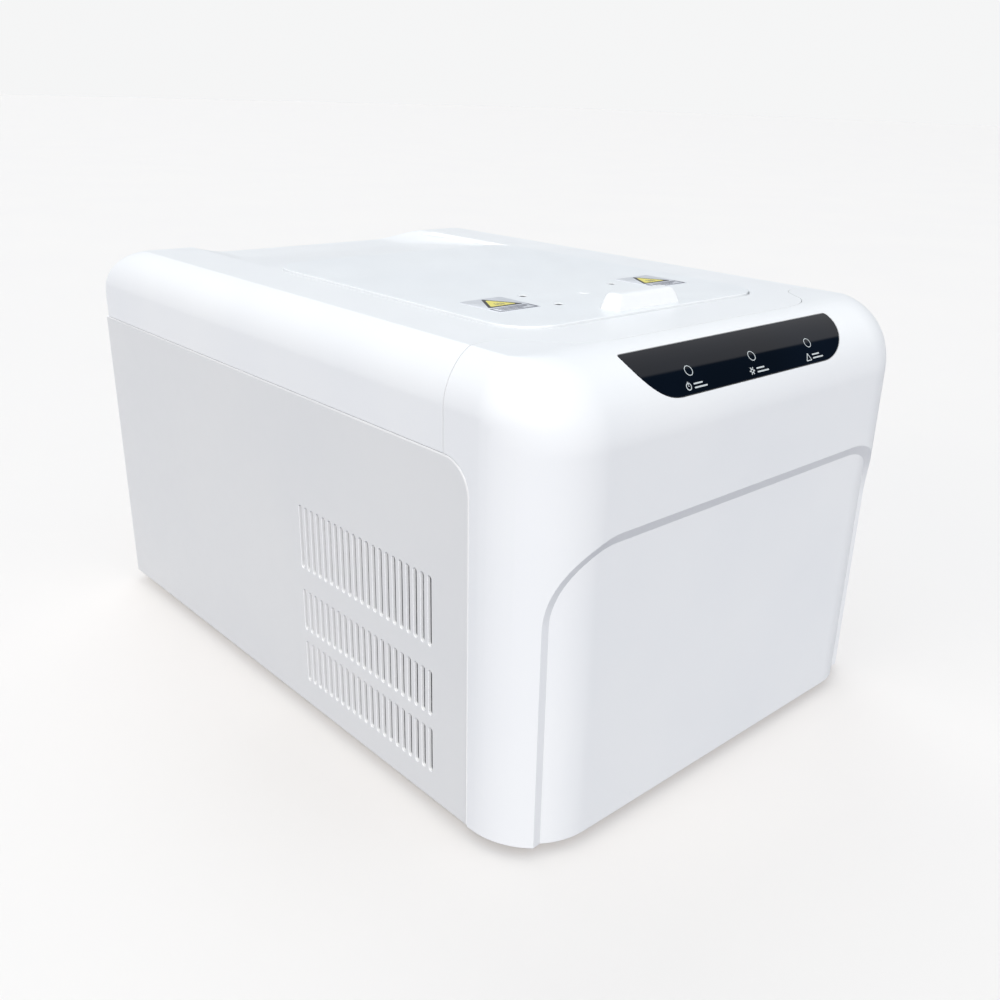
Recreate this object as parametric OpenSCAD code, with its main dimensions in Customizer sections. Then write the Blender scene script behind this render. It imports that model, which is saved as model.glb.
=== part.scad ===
// Benchtop real-time thermal cycler with a sliding heated lid.
// +X is to the right seen from the front, the front faces -Y, +Z is up.
// The origin is on the bench, under the middle of the housing.

/* [Housing] */
// Width of the housing
body_w = 320; // [316:1:330]
// Depth of the housing
body_d = 460; // [456:1:470]
// Height of the flat top above the bottom edge of the housing
body_h = 253.3; // [252:0.1:256]
// Height that the rubber feet stand out below the housing
foot_h = 6; // [4:1:10]
// Thickness of the moulded shells
wall = 3; // [2.5:0.5:3.5]
// Thickness of the tray, the rear panel and the brackets
sheet = 1.5; // [1:0.1:2]
// Thickness of the side panels
panel_t = 1.7; // [1.5:0.1:2]
// Height of the side panels
side_h = 204.5; // [200:0.5:206]
// Radius of the two upright front corners
corner_r = 44.4; // [40:0.2:48]
// Radius between the front and the top
brow_r = 40; // [36:1:42]
// Radius between the rear and the top
rear_r = 36; // [30:1:38]
// Radius of the shoulders along both sides of the top
shoulder_r = 29; // [28:1:32]

/* [Front] */
// Depth of the recessed front field
field_depth = 4; // [2:0.5:5]
// Half width of the recessed front field
field_hw = 145.6; // [130:0.2:148]
// Height of the field's top edge above the bottom of the housing
field_h = 168; // [160:1:180]
// Corner radius of the field
field_r = 43; // [30:1:45]
// Half width of the indicator lens
lens_hw = 89; // [80:0.5:92]
// Width of each rounded lower corner of the lens
lens_corner = 27; // [20:1:30]
// Spacing of the three indicator lights
light_pitch = 52; // [44:1:56]

/* [Vents] */
// Slots in each row of vents
vent_count = 21; // [10:1:21]
// Distance from slot to slot
vent_pitch = 6.15; // [5.8:0.05:6.2]
// Width of one slot
vent_w = 3; // [2:0.1:3.5]

/* [Lid] */
// Half width of the sliding lid
lid_hw = 103; // [101:0.5:104]
// Front edge of the lid
lid_front = -154; // [-155:0.5:-151]
// Rear edge of the lid
lid_rear = 93; // [90:0.5:94]
// Corner radius of the lid
lid_r = 26; // [20:1:30]
// Thickness of the lid panel
lid_t = 3.2; // [3:0.1:3.4]
// How far the lid's top stands out above the housing's top
lid_proud = 1; // [0.9:0.1:1.2]
// How far the lid slides back
lid_travel = 105; // [90:1:105]
// Depth of the pocket that the lid lies in
pocket_d = 2.5; // [2.5:0.1:3]
// Gap between the lid and the wall of its pocket
lid_gap = 1.5; // [1.2:0.1:2]
// Half width of the grip block at its foot
grip_hw = 27; // [22:0.5:32]
// Height of the grip block
grip_h = 8.7; // [7:0.1:14]
// Centre of the plug in the lid
plug_y = -97; // [-98:0.5:-92]

/* [Sample block] */
// Half width of the sample block
block_hw = 63.9; // [62:0.1:64]
// Half depth of the sample block
block_hd = 42.7; // [41:0.1:43]
// Distance from well to well
well_pitch = 9; // [9]
// Radius of a well
well_r = 3.1; // [2.5:0.1:3.2]
// Height of the block
block_h = 20; // [18:1:20]

/* [Hidden] */
$fn = 48;

hw = body_w / 2;
hd = body_d / 2;
top_z = foot_h + body_h;
side_top = foot_h + side_h;
shoulder_z = top_z - 27.3;
gap = 0.4;

// Seam between the bezel and the top cover, from the side towards the middle
seam_side_y = -164;
seam_mid_y = -192.3;
panel_front_y = -182.4;
panel_corner_r = 18;

// Lid and the parts that hang under it
lid_top = top_z + lid_proud;
lid_low = lid_top - lid_t;
pocket_z = top_z - pocket_d;
cover_low = pocket_z - wall;
hatch_hw = 74;
hatch_front = -143;
hatch_rear = 62;
sample_y = -94.5;
screw_dx = 38;
screw_y = [-114, -84];
hanger_z = 250;
rod_x = 86;
rod_z = 241;
rod_r = 4;
rod_front = -146;
rod_rear = 78;
run_gap = 0.05;

// Stack under the lid
block_top = 219;
block_low = block_top - block_h;
peltier_t = 4;
sink_base_t = 10;
sink_top = block_low - peltier_t;
fin_h = 44;
fin_low = sink_top - sink_base_t - fin_h;
fan_size = 80;
fan_t = 25;
fan_top = fin_low;
fan_low = fan_top - fan_t;
fan_x = 42;
plate_low = block_top + 9;
plate_t = 9;
plate_travel = 3;

// Indicator lights on the brow
light_z = top_z - 13.3;
light_angle = asin((light_z - (top_z - brow_r)) / brow_r);

// Optics box behind the block
optics = [[20, 70, 70], [140, 190, 170]];
wheel_c = [80, 118, 120];
wheel_r = 34;
shaft_r = 2.5;

// Power supply in the tray and the main board over it
supply_top = foot_h + sheet + 45;
board_z = supply_top + 26;

// Rear connectors
inlet_c = [-112, 112];
rocker_c = [-76, 112];
usb_c = [-36, 104];
rear_y = hd - 3;
guard_c = [70, 95];
rocker_pivot_in = 5;

function arc(c, r, a0, a1, n) =
    [for (i = [0:n]) [c[0] + r * cos(a0 + (a1 - a0) * i / n), c[1] + r * sin(a0 + (a1 - a0) * i / n)]];

function mirrored(pts) = [for (i = [len(pts) - 1:-1:0]) [-pts[i][0], pts[i][1]]];

// Extrudes an outline drawn in X and Z along the whole depth
module along_y(y0, y1) {
    translate([0, y1, 0]) rotate([90, 0, 0]) linear_extrude(y1 - y0) children();
}

// Extrudes an outline drawn in Y and Z along the width
module along_x(x0, x1) {
    translate([x0, 0, 0]) rotate([90, 0, 90]) linear_extrude(x1 - x0) children();
}

// Box between two corners
module block(lo, hi) {
    translate(lo) cube([hi[0] - lo[0], hi[1] - lo[1], hi[2] - lo[2]]);
}

// Upright box with four rounded corners
module rounded_box(lo, hi, r) {
    union() {
        block([lo[0] + r, lo[1], lo[2]], [hi[0] - r, hi[1], hi[2]]);
        block([lo[0], lo[1] + r, lo[2]], [hi[0], hi[1] - r, hi[2]]);
        for (x = [lo[0] + r, hi[0] - r], y = [lo[1] + r, hi[1] - r])
            translate([x, y, lo[2]]) cylinder(r = r, h = hi[2] - lo[2]);
    }
}

// Plan of the housing, drawn in by a distance, between two heights
module plan(inset, z0, z1) {
    w = hw - inset;
    cx = hw - corner_r;
    cy = -hd + corner_r;
    block([-w, cy, z0], [w, hd - inset, z1]);
    block([-cx, -hd + inset, z0], [cx, cy + 1, z1]);
    for (s = [-1, 1]) translate([s * cx, cy, z0]) cylinder(r = corner_r - inset, h = z1 - z0);
}

// Solid of the whole housing, drawn in by a distance
module housing_solid(inset) {
    r = shoulder_r - inset;
    half = concat(
        [[hw - inset, 0]],
        [for (p = arc([hw - shoulder_r, shoulder_z], r, 0, 70, 8)) p],
        [[hw - shoulder_r + r * cos(70), top_z - inset]]
    );
    side = concat(
        [[-hd + inset, 0]],
        arc([-hd + brow_r, top_z - brow_r], brow_r - inset, 180, 90, 10),
        arc([hd - rear_r, top_z - rear_r], rear_r - inset, 90, 0, 8),
        [[hd - inset, 0]]
    );
    intersection() {
        plan(inset, foot_h, top_z - inset);
        along_y(-hd - 5, hd + 5) polygon(concat(half, mirrored(half)));
        along_x(-hw - 5, hw + 5) polygon(side);
    }
}

// Outline of the recessed front field, grown by a distance
module field_outline(grow) {
    w = field_hw + grow;
    h = foot_h + field_h + grow;
    r = field_r + grow;
    half = concat([[w, 0]], arc([w - r, h - r], r, 0, 90, 10));
    polygon(concat(half, mirrored(half)));
}

// Block of space in front of the field's floor
module field_space(depth, grow) {
    difference() {
        along_y(-hd - 5, -hd + corner_r) field_outline(grow);
        plan(depth, -1, top_z);
    }
}

// Plan of everything in front of the seam, set back by a distance
module seam_region(back) {
    half = [
        [hw + 10, seam_side_y], [143, seam_side_y + 3.3], [128, seam_side_y + 5.3],
        [116.6, seam_side_y + 1.6], [108, seam_side_y - 8.6], [100.5, seam_side_y - 18.5],
        [87.5, seam_mid_y + 2.3], [75, seam_mid_y]
    ];
    pts = concat([[hw + 10, -hd - 10]], half, mirrored(half), [[-hw - 10, -hd - 10]]);
    translate([0, back, -1]) linear_extrude(top_z + 5) polygon(pts);
}

// Outline of a side panel, seen from the side, grown at its front and top
module panel_outline(rear, grow) {
    r = panel_corner_r + grow;
    front = panel_front_y - grow;
    top = side_top + grow;
    polygon(concat([[rear, foot_h], [rear, top]], arc([front + r, top - r], r, 90, 180, 8), [[front, foot_h]]));
}

// Everything the bezel takes: low down it stops at the side panels
module bezel_region() {
    difference() {
        seam_region(0);
        along_x(-hw - 5, hw + 5) panel_outline(0, gap);
    }
}

// Outline of the lens, grown by a distance
module lens_outline(grow) {
    high = top_z - 3.1 + grow;
    middle = top_z - 4.3;
    drop = 19 + grow;
    corner = [for (a = [-90:10:0])
        [lens_hw - lens_corner + (lens_corner + grow) * cos(a), middle + drop * sin(a)]];
    half = concat(corner, [[lens_hw - 1 + grow, high]]);
    polygon(concat(half, mirrored(half)));
}

module foot_pads() {
    color("dimgray")
    for (x = [-1, 1], y = [-1, 1])
        translate([x * (hw - 42), y * (hd - 48), 0]) {
            cylinder(r = 12, h = foot_h);
            translate([0, 0, foot_h]) cylinder(r = 5, h = sheet + 1);
        }
}

module base_tray() {
    lip = 18;
    inset = field_depth + wall + 1;
    edge = hw - panel_t - gap;
    front = panel_front_y + gap;
    rear = rear_y - sheet - gap;
    color("silver")
    difference() {
        union() {
            intersection() {
                plan(inset, foot_h, foot_h + sheet);
                block([-hw, -hd, 0], [hw, front + 1, top_z]);
            }
            block([-edge, front, foot_h], [edge, rear, foot_h + sheet]);
            for (s = [-1, 1])
                block([s * (edge - sheet / 2) - sheet / 2, front, foot_h],
                      [s * (edge - sheet / 2) + sheet / 2, rear, foot_h + lip]);
            block([-edge, rear - sheet, foot_h], [edge, rear, foot_h + lip]);
        }
        for (x = [-1, 1], y = [-1, 1])
            translate([x * (hw - 42), y * (hd - 48), 0]) cylinder(r = 5 + run_gap, h = 20);
    }
}

// One row of upright slots with round ends, cut across a side panel
module vent_row(z0, z1) {
    for (i = [0:vent_count - 1])
        translate([0, -152 + i * vent_pitch, 0]) {
            block([-5, -vent_w / 2, z0 + vent_w / 2], [5, vent_w / 2, z1 - vent_w / 2]);
            for (z = [z0 + vent_w / 2, z1 - vent_w / 2])
                translate([-5, 0, z]) rotate([0, 90, 0]) cylinder(r = vent_w / 2, h = 10, $fn = 16);
        }
}

// Right-hand side panel: a folded sheet with three rows of vents
module side_panel() {
    difference() {
        union() {
            along_x(hw - panel_t, hw) panel_outline(hd, 0);
            block([hw - 16, panel_front_y + 20, side_top - 6], [hw - panel_t, hd - 30, side_top - 6 + sheet]);
        }
        translate([hw, 0, foot_h]) {
            vent_row(96, 136.5);
            vent_row(54, 81.5);
            vent_row(18, 46);
        }
    }
}

module side_panel_left() {
    color("gainsboro") mirror([1, 0, 0]) side_panel();
}

module side_panel_right() {
    color("gainsboro") side_panel();
}

module rear_panel() {
    color("gainsboro")
    difference() {
        block([-hw + panel_t, rear_y - sheet, foot_h], [hw - panel_t, rear_y, side_top]);
        translate([0, rear_y, 0]) {
            block([inlet_c[0] - 14, -5, inlet_c[1] - 10], [inlet_c[0] + 14, 5, inlet_c[1] + 10]);
            block([rocker_c[0] - 7, -5, rocker_c[1] - 11], [rocker_c[0] + 7, 5, rocker_c[1] + 11]);
            block([usb_c[0] - 6.3, -5, usb_c[1] - 5.8], [usb_c[0] + 6.3, 5, usb_c[1] + 5.8]);
        }
        for (a = [0:60:300], d = [14, 28])
            translate([guard_c[0] + d * cos(a + d), rear_y + 5, guard_c[1] + d * sin(a + d)])
                rotate([90, 0, 0]) cylinder(r = 5, h = 10, $fn = 24);
        translate([guard_c[0], rear_y + 5, guard_c[1]]) rotate([90, 0, 0]) cylinder(r = 5, h = 10, $fn = 24);
    }
}

// Fall of the scoop behind the lid, and the lid's own pocket
module lid_space() {
    rise = 10;
    edge = lid_hw + lid_gap;
    half = [[79, top_z - 7.7], [edge, pocket_z], [edge + 1, top_z], [edge + 1.5, top_z + rise]];
    rounded_box([-edge, lid_front - lid_gap, pocket_z], [edge, lid_rear + 20, top_z + rise], lid_r + lid_gap);
    block([-edge, lid_rear - 40, pocket_z], [edge, lid_rear + 8, top_z + rise]);
    intersection() {
        along_y(lid_rear + 2, hd + 10) polygon(concat(half, mirrored(half)));
        along_x(-hw, hw) polygon([
            [lid_rear + 2, pocket_z], [hd - 33, top_z - 7.7], [hd + 10, top_z - 9.9],
            [hd + 10, top_z + rise], [lid_rear + 2, top_z + rise]
        ]);
    }
}

module top_cover() {
    color("whitesmoke")
    difference() {
        housing_solid(0);
        difference() {
            housing_solid(wall);
            translate([0, 0, -wall]) intersection() {
                lid_space();
                block([-hw, -hd, 0], [hw, hd, top_z]);
            }
            block([-lid_hw - 5, lid_front - 5, cover_low - 0.01], [lid_hw + 5, lid_rear + 10, top_z]);
            scoop_skin();
        }
        lid_space();
        rounded_box([-hatch_hw, hatch_front, cover_low - 2], [hatch_hw, hatch_rear, top_z + 1], 4);
        block([-hw - 5, -hd - 5, -5], [hw + 5, hd + 5, side_top + gap]);
        seam_region(gap);
    }
}

// Wall under the scoop, one shell thickness deep
module scoop_skin() {
    edge = lid_hw + lid_gap + 1 + wall;
    half = [[edge, cover_low - 6], [edge, top_z]];
    intersection() {
        along_y(lid_rear + 2, hd) polygon(concat(half, mirrored(half)));
        along_x(-hw, hw) polygon([
            [lid_rear + 2, cover_low], [hd - 33, top_z - 7.7 - wall], [hd, top_z - 9.4 - wall],
            [hd, top_z], [lid_rear + 2, top_z]
        ]);
    }
}

module front_bezel() {
    color("white")
    difference() {
        intersection() {
            difference() {
                housing_solid(0);
                field_space(field_depth, 0);
            }
            bezel_region();
        }
        difference() {
            housing_solid(wall);
            field_space(field_depth + wall, wall);
            for (s = [-1, 1]) light_axis(0) translate([s * 66, 0, -12.4]) cylinder(r = 4, h = 12, $fn = 32);
        }
        intersection() {
            along_y(-hd - 5, -hd + 42) lens_outline(0.2);
            difference() {
                translate([0, 0, 1]) plan(-1, foot_h, top_z);
                housing_solid(1.6);
            }
        }
        for (i = [-1:1]) light_axis(i) translate([0, 0, -8]) cylinder(r = 3, h = 16, $fn = 32);
    }
}

// Places its children at one of the lights, with +Z out of the brow's surface
module light_axis(i) {
    translate([i * light_pitch, -hd + brow_r, top_z - brow_r])
        rotate([90 - light_angle, 0, 0])
            translate([0, 0, brow_r])
                children();
}

module indicator_lens() {
    color("black")
    intersection() {
        along_y(-hd - 5, -hd + 40) lens_outline(0);
        difference() {
            housing_solid(0);
            housing_solid(1.5);
        }
    }
}

module light_pipes() {
    color("lightcyan")
    for (i = [-1:1]) light_axis(i) {
        translate([0, 0, -10]) cylinder(r = 2.8, h = 8.2, $fn = 32);
        translate([0, 0, -10]) cylinder(r = 3.8, h = 1.5, $fn = 32);
    }
}

module status_board() {
    color("darkgreen")
    light_axis(0) {
        block([-72, -11, -14], [72, 11, -12.4]);
        for (i = [-1:1]) translate([i * light_pitch, 0, -12.4]) cylinder(r = 2.5, h = 2.2, $fn = 24);
        block([50, -10, -18], [66, -2, -14]);
    }
}

module lid_panel() {
    color("white")
    difference() {
        rounded_box([-lid_hw, lid_front, lid_low], [lid_hw, lid_rear, lid_top], lid_r);
        for (x = [-screw_dx, screw_dx], y = screw_y)
            translate([x, y, lid_low - 1]) cylinder(r = 2.4, h = lid_t + 2, $fn = 32);
        translate([0, plug_y, lid_low - 1]) cylinder(r = 3.3, h = lid_t + 2, $fn = 32);
    }
}

module grip_block() {
    half = [[grip_hw, 0], [grip_hw - 3, grip_h - 1.5], [grip_hw - 4.5, grip_h]];
    color("white")
    translate([0, -141.5, lid_top])
    intersection() {
        along_y(-7, 7) polygon(concat(half, mirrored(half)));
        along_x(-grip_hw, grip_hw)
            polygon([[-7, 0], [7, 0], [5.5, grip_h - 1.5], [4, grip_h], [-3, grip_h], [-4.5, grip_h - 1.5]]);
    }
}

module lid_screws() {
    color("dimgray")
    for (x = [-screw_dx, screw_dx], y = screw_y)
        translate([x, y, 0]) {
            difference() {
                translate([0, 0, lid_low]) cylinder(r = 2.3, h = lid_t - 0.4, $fn = 32);
                translate([0, 0, lid_top - 1.4]) cylinder(r = 1.2, h = 3, $fn = 6);
            }
            translate([0, 0, plate_low + plate_travel + 2])
                cylinder(r = 1.5, h = lid_low - plate_low - plate_travel - 2, $fn = 24);
            translate([0, 0, plate_low + plate_travel + 1.6]) cylinder(r = 2.6, h = 2.3, $fn = 24);
        }
}

module centre_plug() {
    color("white") translate([0, plug_y, lid_low]) {
        cylinder(r = 3.2, h = lid_t + 0.3, $fn = 32);
        translate([0, 0, -1.2]) cylinder(r = 4.5, h = 1.2, $fn = 32);
    }
}

// Corners of the two hazard plates: x from, x to, y from, y to
hazard_at = [[-82.5, -51.5, -114.5, -79.5], [51.2, 82.2, -109.5, -74.5]];

module hazard_plates() {
    color("silver")
    for (p = hazard_at)
        rounded_box([p[0], p[2], lid_top], [p[1], p[3], lid_top + 0.3], 1.5);
}

module hazard_triangles() {
    color("gold")
    for (p = hazard_at)
        translate([(p[0] + p[1]) / 2, p[2] + 12.7, lid_top + 0.3])
            linear_extrude(0.3) polygon([[-12.4, 0], [12.4, 0], [0, 21]]);
}

// Bracket under the lid that rides on the two rods and carries the hot plate's screws
module lid_carriage() {
    y0 = sample_y - 44;
    y1 = sample_y + 44;
    t = 3;
    arm = 14;
    color("silver")
    difference() {
        union() {
            block([-70, y0, hanger_z - t], [70, y1, hanger_z]);
            for (s = [-1, 1]) {
                block([s * 68.5 - 1.5, y0, rod_z - 5], [s * 68.5 + 1.5, y1, hanger_z - t]);
                for (y = [y0, y1 - arm])
                    block([s * 81 - 11, y, rod_z - 6], [s * 81 + 11, y + arm, rod_z + 6]);
                for (y = [y0 + 8, y1 - 8])
                    translate([s * 52, y, hanger_z]) cylinder(r = 4, h = lid_low - hanger_z, $fn = 32);
            }
        }
        for (s = [-1, 1])
            translate([s * rod_x, y0 - 5, rod_z]) rotate([-90, 0, 0])
                cylinder(r = rod_r + run_gap, h = y1 - y0 + 10);
        for (x = [-screw_dx, screw_dx], y = screw_y)
            translate([x, y, hanger_z - 5]) cylinder(r = 1.5, h = 10, $fn = 24);
    }
}

module slide_rods() {
    color("lightgray")
    for (s = [-1, 1])
        translate([s * rod_x, rod_front, rod_z]) rotate([-90, 0, 0]) cylinder(r = rod_r, h = rod_rear - rod_front);
}

module rod_brackets() {
    t = 6;
    color("gray")
    for (s = [-1, 1], y = [rod_front, rod_rear - t])
        difference() {
            block([s * rod_x - 9, y, rod_z - 8], [s * rod_x + 9, y + t, cover_low]);
            translate([s * rod_x, y - 1, rod_z]) rotate([-90, 0, 0]) cylinder(r = rod_r, h = t + 2);
        }
}

module heated_plate() {
    color("darkgray")
    difference() {
        rounded_box([-62, sample_y - 41, plate_low], [62, sample_y + 41, plate_low + plate_t], 4);
        for (x = [-screw_dx, screw_dx], y = screw_y)
            translate([x, y, plate_low]) {
                translate([0, 0, -1]) cylinder(r = 3, h = plate_travel + 5, $fn = 32);
                translate([0, 0, -1]) cylinder(r = 1.9, h = plate_t + 2, $fn = 32);
            }
    }
}

module heater_mat() {
    z0 = plate_low + plate_t;
    color("orange")
    difference() {
        block([-58, sample_y - 37, z0], [58, sample_y + 37, z0 + 0.8]);
        for (x = [-screw_dx, screw_dx], y = screw_y)
            translate([x, y, z0 - 1]) cylinder(r = 5, h = 3, $fn = 32);
    }
}

module plate_insulation() {
    z0 = plate_low + plate_t + 0.8;
    color("dimgray")
    difference() {
        block([-60, sample_y - 39, z0], [60, sample_y + 39, z0 + 4]);
        for (x = [-screw_dx, screw_dx], y = screw_y)
            translate([x, y, z0 - 1]) cylinder(r = 5, h = 7, $fn = 32);
    }
}

// Small coil springs round the hot plate's screws, between the plate and the bracket
module plate_springs() {
    turns = 5;
    z0 = plate_low + plate_t;
    z1 = hanger_z - 3;
    rise = (z1 - z0 - 1.0) / turns;
    color("silver")
    for (x = [-screw_dx, screw_dx], y = screw_y)
        translate([x, y, z0 + 0.5]) {
            for (i = [0:turns])
                translate([0, 0, i * rise]) rotate_extrude($fn = 24) translate([3, 0]) circle(r = 0.45, $fn = 13);
            for (i = [0:turns - 1])
                rotate([0, 0, i * 90]) translate([3, 0, i * rise]) cylinder(r = 0.4, h = rise, $fn = 13);
        }
}

module sample_block() {
    color("silver")
    difference() {
        block([-block_hw, sample_y - block_hd, block_low], [block_hw, sample_y + block_hd, block_top]);
        for (i = [0:11], j = [0:7])
            translate([(i - 5.5) * well_pitch, sample_y + (j - 3.5) * well_pitch, block_top - 14])
                cylinder(r = well_r, h = 15, $fn = 24);
    }
}

// Moulded frame that closes the gap between the block and the hatch
module block_frame() {
    color("white")
    difference() {
        union() {
            block([-84, hatch_front - 2, block_top - 6], [84, sample_y + block_hd + 14, block_top - 3]);
            for (s = [-1, 1]) block([s * 80 - 2, hatch_front + 6, sink_top], [s * 80 + 2, hatch_front + 80,
                                                                             block_top - 6]);
        }
        block([-block_hw - 0.6, sample_y - block_hd - 0.6, block_low - 1],
              [block_hw + 0.6, sample_y + block_hd + 0.6, block_top + 1]);
    }
}

module peltier_modules() {
    size = 40;
    color("ivory")
    for (i = [-1:1], j = [-1, 1])
        translate([i * 42, sample_y + j * 20.8, block_low - peltier_t])
            block([-20, -20 * 1, 0], [20, 20 * 1, peltier_t]);
}

module heat_sink() {
    n = 27;
    w = 83;
    base_z = sink_top - sink_base_t;
    color("lightgray") union() {
        block([-w - 11, sample_y - 46, base_z], [w + 11, sample_y + 46, sink_top]);
        for (i = [0:n - 1]) {
            x = -w + 0.8 + i * (2 * w - 1.6) / (n - 1);
            block([x - 0.8, sample_y - 46, fin_low], [x + 0.8, sample_y + 46, base_z]);
        }
    }
}

// Square fan frame with a round duct, four struts and a bearing tube
module fan_frame(x) {
    s = fan_size / 2;
    color("black")
    translate([x, sample_y, fan_low])
    difference() {
        union() {
            difference() {
                rounded_box([-s, -s, 0], [s, s, fan_t], 4);
                translate([0, 0, -1]) cylinder(r = s - 2, h = fan_t + 2, $fn = 64);
            }
            for (a = [45:90:315]) rotate([0, 0, a]) block([8, -1.5, 0], [s, 1.5, 3]);
            cylinder(r = 16, h = 3);
            cylinder(r = 3, h = 16, $fn = 32);
        }
        for (a = [-1, 1], b = [-1, 1]) translate([a * 35.7, b * 35.7, -1]) cylinder(r = 2.15, h = fan_t + 2,
                                                                                 $fn = 24);
    }
}

module fan_frame_left() { fan_frame(-fan_x); }
module fan_frame_right() { fan_frame(fan_x); }

// Fan rotor: a hub cup and seven pitched blades
module fan_rotor(x) {
    hub_r = 16;
    tip_r = 36.5;
    color("dimgray")
    translate([x, sample_y, fan_low])
    difference() {
        union() {
            translate([0, 0, 4]) cylinder(r = hub_r, h = 18);
            intersection() {
                translate([0, 0, 4]) cylinder(r = tip_r, h = 18, $fn = 64);
                for (i = [0:6]) rotate([0, 0, i * 360 / 7])
                    translate([0, 0, 13]) rotate([38, 0, 0]) block([hub_r - 2, -10, -0.9], [tip_r + 3, 10, 0.9]);
            }
        }
        translate([0, 0, 3]) cylinder(r = 3 + run_gap, h = 14, $fn = 32);
    }
}

module fan_rotor_left() { fan_rotor(-fan_x); }
module fan_rotor_right() { fan_rotor(fan_x); }

module sink_posts() {
    color("gray")
    for (x = [-89, 89], y = [sample_y - 38, sample_y + 38])
        translate([x, y, foot_h + sheet])
            cylinder(r = 5, h = sink_top - sink_base_t - foot_h - sheet, $fn = 32);
}

// Long screws that hold both fans under the fins
module fan_screws() {
    color("silver")
    for (x = [-fan_x, fan_x], a = [-1, 1], b = [-1, 1])
        translate([x + a * 35.7, sample_y + b * 35.7, fan_low]) {
            cylinder(r = 2, h = fan_t, $fn = 24);
            translate([0, 0, -2]) cylinder(r = 4, h = 2, $fn = 32);
        }
}

module optics_case() {
    lo = optics[0];
    hi = optics[1];
    color("black")
    difference() {
        union() {
            block(lo, [hi[0], hi[1], hi[2] - 4]);
            for (x = [lo[0] + 8, hi[0] - 8], y = [lo[1] + 8, hi[1] - 8])
                translate([x, y, foot_h + sheet]) cylinder(r = 6, h = lo[2] - foot_h - sheet, $fn = 32);
        }
        block([lo[0] + 4, lo[1] + 4, lo[2] + 4], [hi[0] - 4, hi[1] - 4, hi[2]]);
        translate([wheel_c[0], lo[1] - 5, wheel_c[2] + 24]) rotate([-90, 0, 0]) cylinder(r = 9, h = 12);
        translate([wheel_c[0], hi[1] - 6, wheel_c[2] + 24]) rotate([-90, 0, 0]) cylinder(r = 12, h = 12);
        translate([lo[0] - 5, wheel_c[1] - 20, wheel_c[2] + 24]) rotate([0, 90, 0]) cylinder(r = 9, h = 12);
    }
}

module optics_cover() {
    lo = optics[0];
    hi = optics[1];
    color("dimgray") union() {
        block([lo[0], lo[1], hi[2] - 4], [hi[0], hi[1], hi[2]]);
        block([lo[0] + 4.5, lo[1] + 4.5, hi[2] - 7], [hi[0] - 4.5, hi[1] - 4.5, hi[2] - 4]);
    }
}

module filter_wheel() {
    color("silver")
    translate(wheel_c) rotate([-90, 0, 0])
    difference() {
        union() {
            cylinder(r = wheel_r, h = 5, $fn = 64);
            cylinder(r = 7, h = 10, $fn = 32);
        }
        for (a = [0:60:300]) rotate([0, 0, a]) translate([24, 0, -1]) cylinder(r = 6, h = 7, $fn = 32);
        translate([0, 0, -1]) cylinder(r = shaft_r, h = 12, $fn = 32);
    }
}

module wheel_shaft() {
    color("gray") translate(wheel_c) rotate([-90, 0, 0]) translate([0, 0, -2]) cylinder(r = shaft_r, h = 34, $fn = 32);
}

// Stepper motor on two feet that stand on the floor of the optics box
module stepper_motor() {
    foot = wheel_c[2] - optics[0][2] - 4;
    color("gray")
    translate(wheel_c) rotate([-90, 0, 0])
    difference() {
        union() {
            block([-21, -21, 14], [21, 21, 46]);
            translate([0, 0, 12]) cylinder(r = 11, h = 2);
            for (s = [-1, 1]) block([s * 24 - 3, -4, 14], [s * 24 + 3, foot, 18]);
        }
        translate([0, 0, 11]) cylinder(r = shaft_r + run_gap, h = 23, $fn = 32);
    }
}

module detector() {
    color("lightgray")
    translate([wheel_c[0], optics[1][1], wheel_c[2] + 24]) rotate([-90, 0, 0]) {
        translate([0, 0, -6]) cylinder(r = 11.8, h = 6);
        cylinder(r = 14, h = 26);
    }
}

module light_source() {
    color("gray")
    translate([optics[0][0], wheel_c[1] - 20, wheel_c[2] + 24]) rotate([0, -90, 0]) {
        translate([0, 0, -6]) cylinder(r = 8.8, h = 6);
        cylinder(r = 12, h = 3);
        for (i = [0:3]) translate([0, 0, 5 + i * 5]) cylinder(r = 15, h = 2);
        cylinder(r = 7, h = 22);
    }
}

// Fibre bundle from the rear edge of the block down and back into the optics
module fibre_bundle() {
    r = 6;
    bend = 20;
    y0 = sample_y + block_hd;
    z_out = (block_top - 6 + block_low) / 2;
    z_in = wheel_c[2] + 24;
    y_drop = 12;
    color("dimgray") {
        translate([wheel_c[0] - 45, y0, z_out]) {
            rotate([-90, 0, 0]) cylinder(r = r, h = y_drop - y0 - bend);
            block([-30, 0.2, -5], [30, 6, 5]);
        }
        translate([wheel_c[0] - 45, y_drop - bend, z_out - bend]) rotate([90, 0, 90])
            rotate_extrude(angle = 90) translate([bend, 0]) circle(r = r);
        translate([wheel_c[0] - 45, y_drop, z_in + bend]) cylinder(r = r, h = z_out - z_in - 2 * bend);
        translate([wheel_c[0] - 45, y_drop, z_in + bend]) rotate([90, 0, 0])
            translate([bend, 0, 0]) rotate([0, 0, 180]) rotate_extrude(angle = 90) translate([bend, 0]) circle(r = r);
        translate([wheel_c[0] - 45 + bend, y_drop, z_in]) rotate([0, 90, 0]) cylinder(r = r, h = 45 - 2 * bend);
        translate([wheel_c[0] - bend, y_drop + bend, z_in]) rotate([0, 0, -90])
            rotate_extrude(angle = 90) translate([bend, 0]) circle(r = r);
        translate([wheel_c[0], y_drop + bend, z_in]) rotate([-90, 0, 0]) {
            cylinder(r = r, h = optics[0][1] - y_drop - bend + 4);
            translate([0, 0, optics[0][1] - y_drop - bend - 10]) cylinder(r = 8.8, h = 14);
        }
    }
}

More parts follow.
